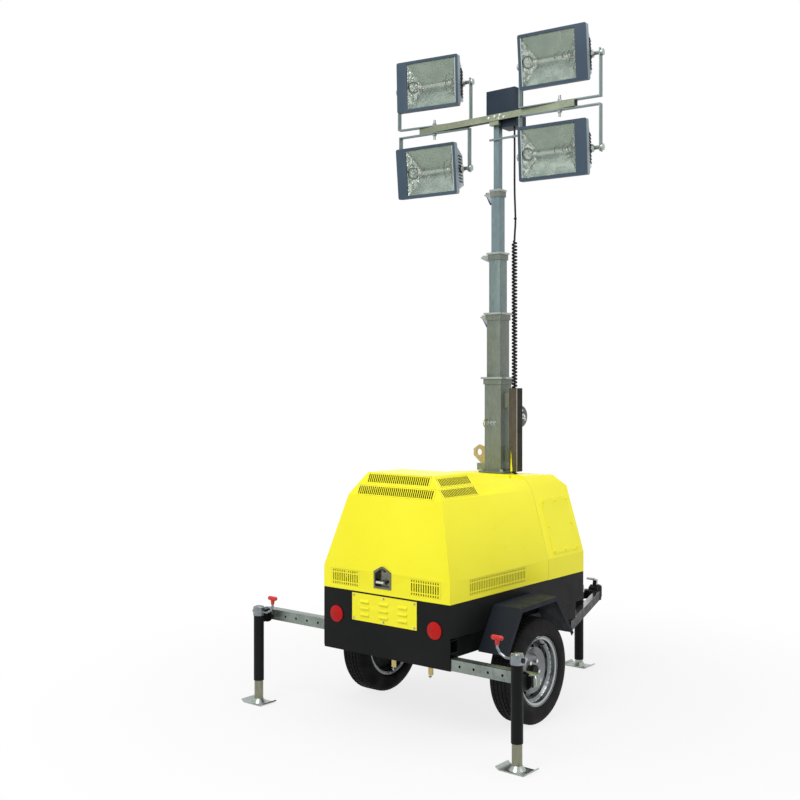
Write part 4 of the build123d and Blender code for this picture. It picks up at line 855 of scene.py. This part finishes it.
def lamp_paint(place, shift):
    """Picks a housing's paints: slate frame, pale case, near-black fins as painted shade of the slots between
    them, zinc pivots, and a recess with painted reflection and glints.
    """
    to_lamp = place.inverted()
    turn = to_lamp.to_3x3()
    return lambda centre, normal: LAMP_PAINTS.index(lamp_finish(to_lamp @ centre, turn @ normal, shift))


def add_reflector(build, shift):
    """Mirror sheet of two long slopes and two ends that meet in a ridge behind the bulb; the upper slope is
    painted darker and the lower lighter as painted reflection, and the ends carry painted glints.
    """
    wide, tall = OPENING[0] - MIRROR_GAP, OPENING[1] - MIRROR_GAP
    front = [(shift + x * wide, MIRROR_FRONT, z * tall) for x, z in ((-1, -1), (1, -1), (1, 1), (-1, 1))]
    skin = front + [(shift + end * RIDGE_HALF, MIRROR_BACK, 0) for end in (-1, 1)]
    back = [(x, y + MIRROR_SHEET, z) for x, y, z in skin]
    hips = [(0, 1, 5, 4), (1, 2, 5), (2, 3, 4, 5), (3, 0, 4)]
    rims = [(0, 6, 7, 1), (1, 7, 8, 2), (2, 8, 9, 3), (3, 9, 6, 0)]
    build.add(skin + back, hips + [tuple(6 + i for i in reversed(face)) for face in hips] + rims)
    build.bm.faces.ensure_lookup_table()
    for paint, picked in (("mirror_high", (2,)), ("mirror_end", (1, 3))):
        build.paint(paint)
        for number in picked:
            build.bm.faces[number].material_index = build.index


def add_bulb_holders(build, shift):
    for end in (-1, 1):
        x = shift + end * BULB_HALF
        post = x + end * 0.014
        build.paint("ceramic").rod((x, BULB_Y, 0), (x + end * 0.022, BULB_Y, 0), 0.021, 20)
        build.paint("bright_zinc_and_highlight").rod((post, BULB_Y, 0), (post, MIRROR_BACK - 0.004, 0), 0.008, 12)
        build.bolt((post, BULB_Y - 0.010, 0), (0, -1, 0), 0.010, False)


def add_end_ring(build, shift):
    """Dark ring on the reflector's left end, with three bright rods as painted glints."""
    x = shift - RING_X
    build.paint("black_plastic").ring((x, RING_Y, 0), RING_WAY, (0.031, 0.038), (-0.003, 0.003), 28)
    # bright rods placed as painted glints
    build.paint("bright_zinc_and_highlight")
    for along, z in GLINTS:
        build.rod((x + along, RING_Y, z), (x + along + 0.010, RING_Y - 0.004, z - 0.004), 0.008, 10)


def add_guard_arc(build, shift):
    """Dark wire bent in an arc before the bulb."""
    arc = []
    for step in range(13):
        angle = math.radians(-78 + 13 * step)
        arc.append((shift + ARC_X, ARC_Y - ARC_DEEP * math.cos(angle), ARC_HALF * math.sin(angle)))
    build.paint("black_plastic").wire(arc, 0.005, 6)


def add_guard_hooks(build, shift):
    """Three dark wire hooks over the bulb."""
    build.paint("black_plastic")
    for x in HOOK_X:
        start = shift + x
        hook = [(start, BULB_Y - 0.004, 0.030), (start - 0.010, BULB_Y - 0.016, 0.020),
                (start - 0.012, BULB_Y - 0.020, 0.004), (start - 0.004, BULB_Y - 0.018, -0.008)]
        build.wire(smooth_line(hook), 0.0055, 6)


def make_lamp_inside(name, side, place, shift):
    build = Build("mirror_low", place)
    add_reflector(build, shift)
    add_bulb_holders(build, shift)
    add_end_ring(build, shift)
    if side < 0:
        add_guard_arc(build, shift)
    else:
        add_guard_hooks(build, shift)
    build.paint("zinc")
    for end in (-1, 1):
        build.lathe((end * 0.200, 0, 0), (end, 0, 0), KNOB, 20)
    build.finish("lamp_inside_" + name, BODY_OF["lamp_" + name], "lamp_grey")


def make_bulb(name, place, shift):
    end = [(BULB_R[0], 0), (BULB_R[1], 0.006), (BULB_R[2], 0.020)]
    profile = end + [(radius, 2 * BULB_HALF - along) for radius, along in reversed(end)]
    bulb = Build("bulb_glass", place)
    bulb.lathe((shift - BULB_HALF, BULB_Y, 0), (1, 0, 0), profile, 24)
    bulb.finish("lamp_bulb_" + name, BODY_OF["lamp_" + name], "lamp_glass")


def make_gasket(name, side, place, shift):
    """Pale strip beside the glass, on the bezel's side."""
    middle = shift - side * (OPENING[0] - GASKET_W / 2 - 0.0005)
    tall = OPENING[1] - MIRROR_GAP
    strip = Build("wire_grey", place)
    strip.box((middle - GASKET_W / 2, middle + GASKET_W / 2),
              (LAMP_FRONT + 0.0005, LAMP_FRONT + 0.0028), (-tall, tall))
    strip.finish("lamp_gasket_" + name, BODY_OF["lamp_" + name], "lamp_grey", 0.0006)


for name, side in LAMPS:
    place = lamp_place(name)
    shift = -side * BEZEL_SHIFT
    dress("yoke_" + name, 0.001)
    dress("lamp_" + name, 0.001, LAMP_PAINTS, lamp_paint(place, shift))
    make_lamp_inside(name, side, place, shift)
    make_bulb(name, place, shift)
    make_gasket(name, side, place, shift)
    dress("lamp_glass_" + name, 0.0006)


# Small fittings.
BACK, UP, DOWN, OUT = (0, -1, 0), (0, 0, 1), (0, 0, -1), (1, 0, 0)
PLATE_SCREW_IN = (0.014, 0.012)
PANEL_BOLT_AT = (0.131, 0.150)
BAR_SCREWS = ((0.052, 0.008), (0.082, -0.008), (0.046, -0.010), (0.014, 0.004), (-0.030, 0.0))
TIE_Z = 2.897


def make_plate_screws():
    screws = Build("zinc")
    in_x, in_z = PLATE_SCREW_IN
    for x in (PLATE_LOW.x + in_x, 0, PLATE_HIGH.x - in_x):
        for z in (PLATE_LOW.z + in_z, PLATE_HIGH.z - in_z):
            screws.screw((x, PLATE_FACE_Y, z), BACK, 0.013)
    screws.finish("plate_screws", "trailer", "zinc")


def make_latch_parts():
    """Keyhole, bright grip, and a bright lip on the recess floor as a painted highlight."""
    parts = Build("black_plastic")
    keyhole = [(0.009, 0), (0.009, 0.006), (0.006, 0.007), (0.0005, 0.007)]
    parts.lathe((LATCH_X, LATCH_HIGH.y - 0.002, LATCH_HIGH.z - 0.024), BACK, keyhole, 24)
    grip_y, grip_z = REAR_Y - 0.0110, LATCH_LOW.z + 0.036
    parts.paint("bright_zinc_and_highlight")
    parts.rod((LATCH_X - 0.033, grip_y, grip_z), (LATCH_X + 0.020, grip_y, grip_z), 0.0145, 20)
    # bright plate on the recess floor: painted highlight on its up-facing face
    parts.box((LATCH_LOW.x + 0.009, LATCH_HIGH.x - 0.009), (REAR_Y - 0.003, LATCH_HIGH.y - 0.003),
              (LATCH_LOW.z + 0.0075, LATCH_LOW.z + 0.0105))
    parts.finish("latch_keyhole", "hood", "black_plastic")


def make_sleeve_clamps():
    """Clamp plates under the outrigger sleeves, each with a stud and its nut."""
    clamps = Build("gold_zinc_and_yellow_reflection")
    y, foot = SLEEVES_LOW.y + 0.010, SLEEVES_LOW.z - 0.040
    for x in CLAMP_X:
        stud = x - 0.004
        clamps.paint("gold_zinc_and_yellow_reflection")
        clamps.box((x - 0.015, x + 0.015), (y - 0.003, y + 0.003), (foot, SLEEVES_LOW.z + 0.004))
        clamps.paint("zinc").rod((stud, y, foot), (stud, y, foot - 0.018), 0.007, 12)
        clamps.bolt((stud, y, foot - 0.007), DOWN, 0.011)
    clamps.finish("sleeve_clamps", "trailer", "zinc", 0.0005)


def make_seam_fillers():
    """Closes the wedge between the hood's and the cowl's shoulders at the parting."""
    filler = Build("yellow_paint")
    for side in (-1, 1):
        wedge = [(side * x, z) for x, z in SEAM_WEDGE]
        filler.prism("y", wedge, PARTING_Y + 0.0005, PARTING_Y + 0.0035)
    filler.finish("seam_fillers", "trailer", "yellow_paint")


def make_panel_bolts():
    centre, normal = main_face("access_panel", OUT)
    along = Vector((0, 1, 0))
    up = normal.cross(along)
    bolts = Build("yellow_paint")
    for u in (-1, 0, 1):
        for v in (-1, 0, 1):
            if u or v:
                spot = centre + along * (u * PANEL_BOLT_AT[0]) + up * (v * PANEL_BOLT_AT[1])
                bolts.bolt(spot, normal, 0.010)
    bolts.finish("access_panel_bolts", "trailer", "zinc", 0.0004)


def make_mast_foot_bolts():
    """Bolts of the mast's foot flange and rear face, and the wire hook beside them, its yellow tone a painted
    reflection.
    """
    bolts = Build("zinc")
    for dx in (-FLANGE_BOLT, FLANGE_BOLT):
        for dy in (-FLANGE_BOLT, 0, FLANGE_BOLT):
            bolts.bolt((dx, MAST_Y + dy, FLANGE_Z), UP, 0.017)
    for x in (-0.030, -0.008, 0.014):
        bolts.bolt((x, MAST_REAR, 1.640), BACK, 0.015)
    bend = ((0.002, 1.665), (-0.020, 1.664), (-0.034, 1.652), (-0.036, 1.634), (-0.026, 1.620))
    # wire hook: yellow tone as a painted reflection
    bolts.paint("gold_zinc_and_yellow_reflection").wire(smooth_line([(-0.044, MAST_REAR + dy, z) for dy, z in bend]), 0.007)
    bolts.finish("mast_foot_bolts", "trailer", "zinc", 0.0004)


def make_eye_foot():
    """Block that seats the lifting eye on the roof."""
    foot = Build("bar_zinc")
    foot.box((-0.132, -0.0625), (MAST_Y - 0.040, MAST_Y - 0.018), (FLANGE_Z + 0.0005, FLANGE_Z + 0.044))
    foot.finish("eye_foot", "trailer", "zinc", 0.001)


def make_trough_lip():
    """Bright strip along the cable trough's edge as a painted highlight, and the yellow wedge at its foot."""
    x, y, z = TROUGH_HIGH.x, TROUGH_LOW.y, TROUGH_LOW.z
    lip = Build("bright_zinc_and_highlight")
    # the strip is a painted highlight on the trough's edge
    lip.box((x - 0.0022, x - 0.0002), (y - 0.0008, y + 0.0006), (z + 0.001, TROUGH_HIGH.z - 0.001))
    wedge = [(0.1055, z + 0.001), (0.130, z + 0.001), (0.126, z + 0.06), (0.1135, z + 0.158)]
    lip.paint("yellow_paint").prism("y", wedge, y + 0.0034, y + 0.0044)
    lip.finish("trough_lip", "trailer", "zinc")


def make_winch_bolts():
    bolts = Build("bright_zinc_and_highlight")
    bolts.bolt((WINCH_HIGH.x - 0.0005, WINCH_GEAR_Y, WINCH_GEAR_Z), OUT, 0.018)
    for turn in range(3):
        angle = math.radians(90 + 120 * turn)
        y = WINCH_GEAR_Y + WINCH_GEAR_BOLTS * math.cos(angle)
        z = WINCH_GEAR_Z + WINCH_GEAR_BOLTS * math.sin(angle)
        bolts.bolt((WINCH_HIGH.x - 0.009, y, z), OUT, 0.010)
    bolts.finish("winch_bolts", "trailer", "zinc", 0.0004)


def make_bar_fittings():
    """Screws, saddle and dark end plugs of the crossbar."""
    bar = Build("bright_zinc_and_highlight")
    for x, dz in BAR_SCREWS:
        bar.screw((x, BAR_LOW.y, BAR_Z + dz), BACK, 0.018)
    bar.paint("bar_zinc").box((-0.027, 0.040), (BAR_LOW.y + 0.004, BAR_HIGH.y - 0.004),
                              (BAR_Z - BAR_HALF - 0.026, BAR_Z - BAR_HALF - 0.0005))
    bar.paint("black_plastic")
    inset = BAR_WALL + 0.0002
    for low_x in (BAR_LOW.x, BAR_HIGH.x - PLUG_L):
        bar.box((low_x + 0.0002, low_x + PLUG_L - 0.0002), (BAR_LOW.y + inset, BAR_HIGH.y - inset),
                (BAR_Z - BAR_HALF + inset, BAR_Z + BAR_HALF - inset))
    bar.finish("lamp_bar_bolts", "mast_5", "zinc", 0.0006)


def make_cable_tie():
    tie = Build("cord_black")
    tie.ring((CURLY_X + 0.0055, MAST_Y, TIE_Z), UP, (0.0065, 0.0095), (0, 0.008), 24)
    tie.finish("cable_tie", "mast_5", "cord_black")


def make_jack_fittings(side):
    """Lid bolts, dark gear cap and bent handle of a rear jack."""
    sign = SIDES[side]
    leg_low, leg_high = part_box("jack_leg_" + side)
    x, y = (leg_low.x + leg_high.x) / 2, (leg_low.y + leg_high.y) / 2
    build = Build("zinc")
    for turn in range(4):
        angle = math.radians(45 + 90 * turn)
        across, along = JACK_LID_BOLTS * math.cos(angle), JACK_LID_BOLTS * math.sin(angle)
        build.bolt((x + across, y + along, JACK_LID_Z + 0.001), UP, 0.010, False)
    cap_z = JACK_LID_Z - 0.024
    build.paint("black_plastic").rod((x + sign * 0.033, y, cap_z), (x + sign * 0.041, y, cap_z), 0.026)
    pivot = joint_place("jack_swivel_" + side)[0]
    swing = y + (ARM_BACK - y) * 0.86
    bend = ((0.030, 0, 0.030), (0.050, -0.002, 0.036), (0.070, -0.006, 0.036), (0.078, -0.012, 0.020),
            (0.078, -0.014, -0.008))
    handle = [(pivot.x + sign * dx, swing + dy, pivot.z + dz) for dx, dy, dz in bend]
    build.paint("zinc").wire(smooth_line(handle), 0.009)
    build.finish("jack_fittings_" + side, BODY_OF["rear_jack_" + side], "zinc", 0.0004)


make_plate_screws()
make_latch_parts()
make_sleeve_clamps()
make_seam_fillers()
make_panel_bolts()
make_mast_foot_bolts()
make_eye_foot()
make_trough_lip()
make_winch_bolts()
make_bar_fittings()
make_cable_tie()
for side in SIDES:
    make_jack_fittings(side)


# Camera, floor, backdrop and light.

CAMERA_AT = (3.761, -5.612, 1.850)
CAMERA_TURN = math.radians(39.16)
CAMERA_LENS = 48.44
CAMERA_SHIFT = -0.01322


def make_camera():
    """Camera at the photograph's place: level, with the photograph's framing as a small shift."""
    data = bpy.data.cameras.new("camera")
    data.sensor_width = 36.0
    data.lens = CAMERA_LENS
    data.shift_y = CAMERA_SHIFT
    camera = link(bpy.data.objects.new("camera", data))
    camera.location = CAMERA_AT
    camera.rotation_euler = (math.radians(90), 0, CAMERA_TURN)
    bpy.context.scene.camera = camera


def seen_ray(tree):
    """1 for what the camera sees, directly, mirrored or through glass."""
    path = tree.nodes.new("ShaderNodeLightPath")
    result = path.outputs["Is Camera Ray"]
    for kind in ("Is Glossy Ray", "Is Transmission Ray"):
        either = tree.nodes.new("ShaderNodeMath")
        either.operation = "MAXIMUM"
        tree.links.new(result, either.inputs[0])
        tree.links.new(path.outputs[kind], either.inputs[1])
        result = either.outputs[0]
    return result


def make_floor():
    reach = 40.0
    mesh = bpy.data.meshes.new("floor")
    mesh.from_pydata([(-reach, -reach, 0), (reach, -reach, 0), (reach, reach, 0), (-reach, reach, 0)], [],
                     [(0, 1, 2, 3)])
    floor = link(bpy.data.objects.new("floor", mesh))
    tree, shader = new_material("floor")
    shader.inputs["Base Color"].default_value = (0.62, 0.62, 0.62, 1)
    shader.inputs["Roughness"].default_value = 0.9
    shader.inputs["Specular IOR Level"].default_value = 0.1
    coordinate = tree.nodes.new("ShaderNodeTexCoord")
    away = tree.nodes.new("ShaderNodeVectorMath")
    away.operation = "LENGTH"
    tree.links.new(coordinate.outputs["Object"], away.inputs[0])
    fade = tree.nodes.new("ShaderNodeMapRange")
    fade.interpolation_type = "SMOOTHSTEP"
    fade.inputs["From Min"].default_value = 0.6
    fade.inputs["From Max"].default_value = 3.2
    fade.inputs["To Min"].default_value = 0.80
    tree.links.new(away.outputs["Value"], fade.inputs["Value"])
    shown = tree.nodes.new("ShaderNodeMath")
    shown.operation = "MULTIPLY"
    tree.links.new(fade.outputs["Result"], shown.inputs[0])
    tree.links.new(seen_ray(tree), shown.inputs[1])
    white = tree.nodes.new("ShaderNodeEmission")
    mix = tree.nodes.new("ShaderNodeMixShader")
    tree.links.new(shown.outputs[0], mix.inputs[0])
    tree.links.new(shader.outputs[0], mix.inputs[1])
    tree.links.new(white.outputs[0], mix.inputs[2])
    tree.links.new(mix.outputs[0], tree.nodes["Material Output"].inputs["Surface"])
    mesh.materials.append(PAINTS["floor"])


def make_world():
    world = bpy.data.worlds.new("world")
    bpy.context.scene.world = world
    world.use_nodes = True
    tree = world.node_tree
    background = tree.nodes["Background"]
    strength = tree.nodes.new("ShaderNodeMapRange")
    strength.inputs["To Min"].default_value = 0.62
    strength.inputs["To Max"].default_value = 1.0
    tree.links.new(seen_ray(tree), strength.inputs["Value"])
    tree.links.new(strength.outputs["Result"], background.inputs["Strength"])
    background.inputs["Color"].default_value = (1, 1, 1, 1)


def area_light(name, location, target, size, power):
    data = bpy.data.lights.new(name, "AREA")
    data.size = size
    data.energy = power
    light = link(bpy.data.objects.new(name, data))
    light.location = location
    light.rotation_euler = (Vector(target) - Vector(location)).to_track_quat("-Z", "Y").to_euler()


make_camera()
make_floor()
make_world()
bpy.context.scene.view_settings.view_transform = "Standard"
area_light("key", (0.5, -6.5, 7.0), (0, 0, 1.2), 4.0, 330)
area_light("top", (0.5, 0.5, 8.5), (0, 0, 1.0), 5.0, 170)
area_light("side", (6.5, 0.5, 4.0), (0, 0, 1.4), 3.0, 60)
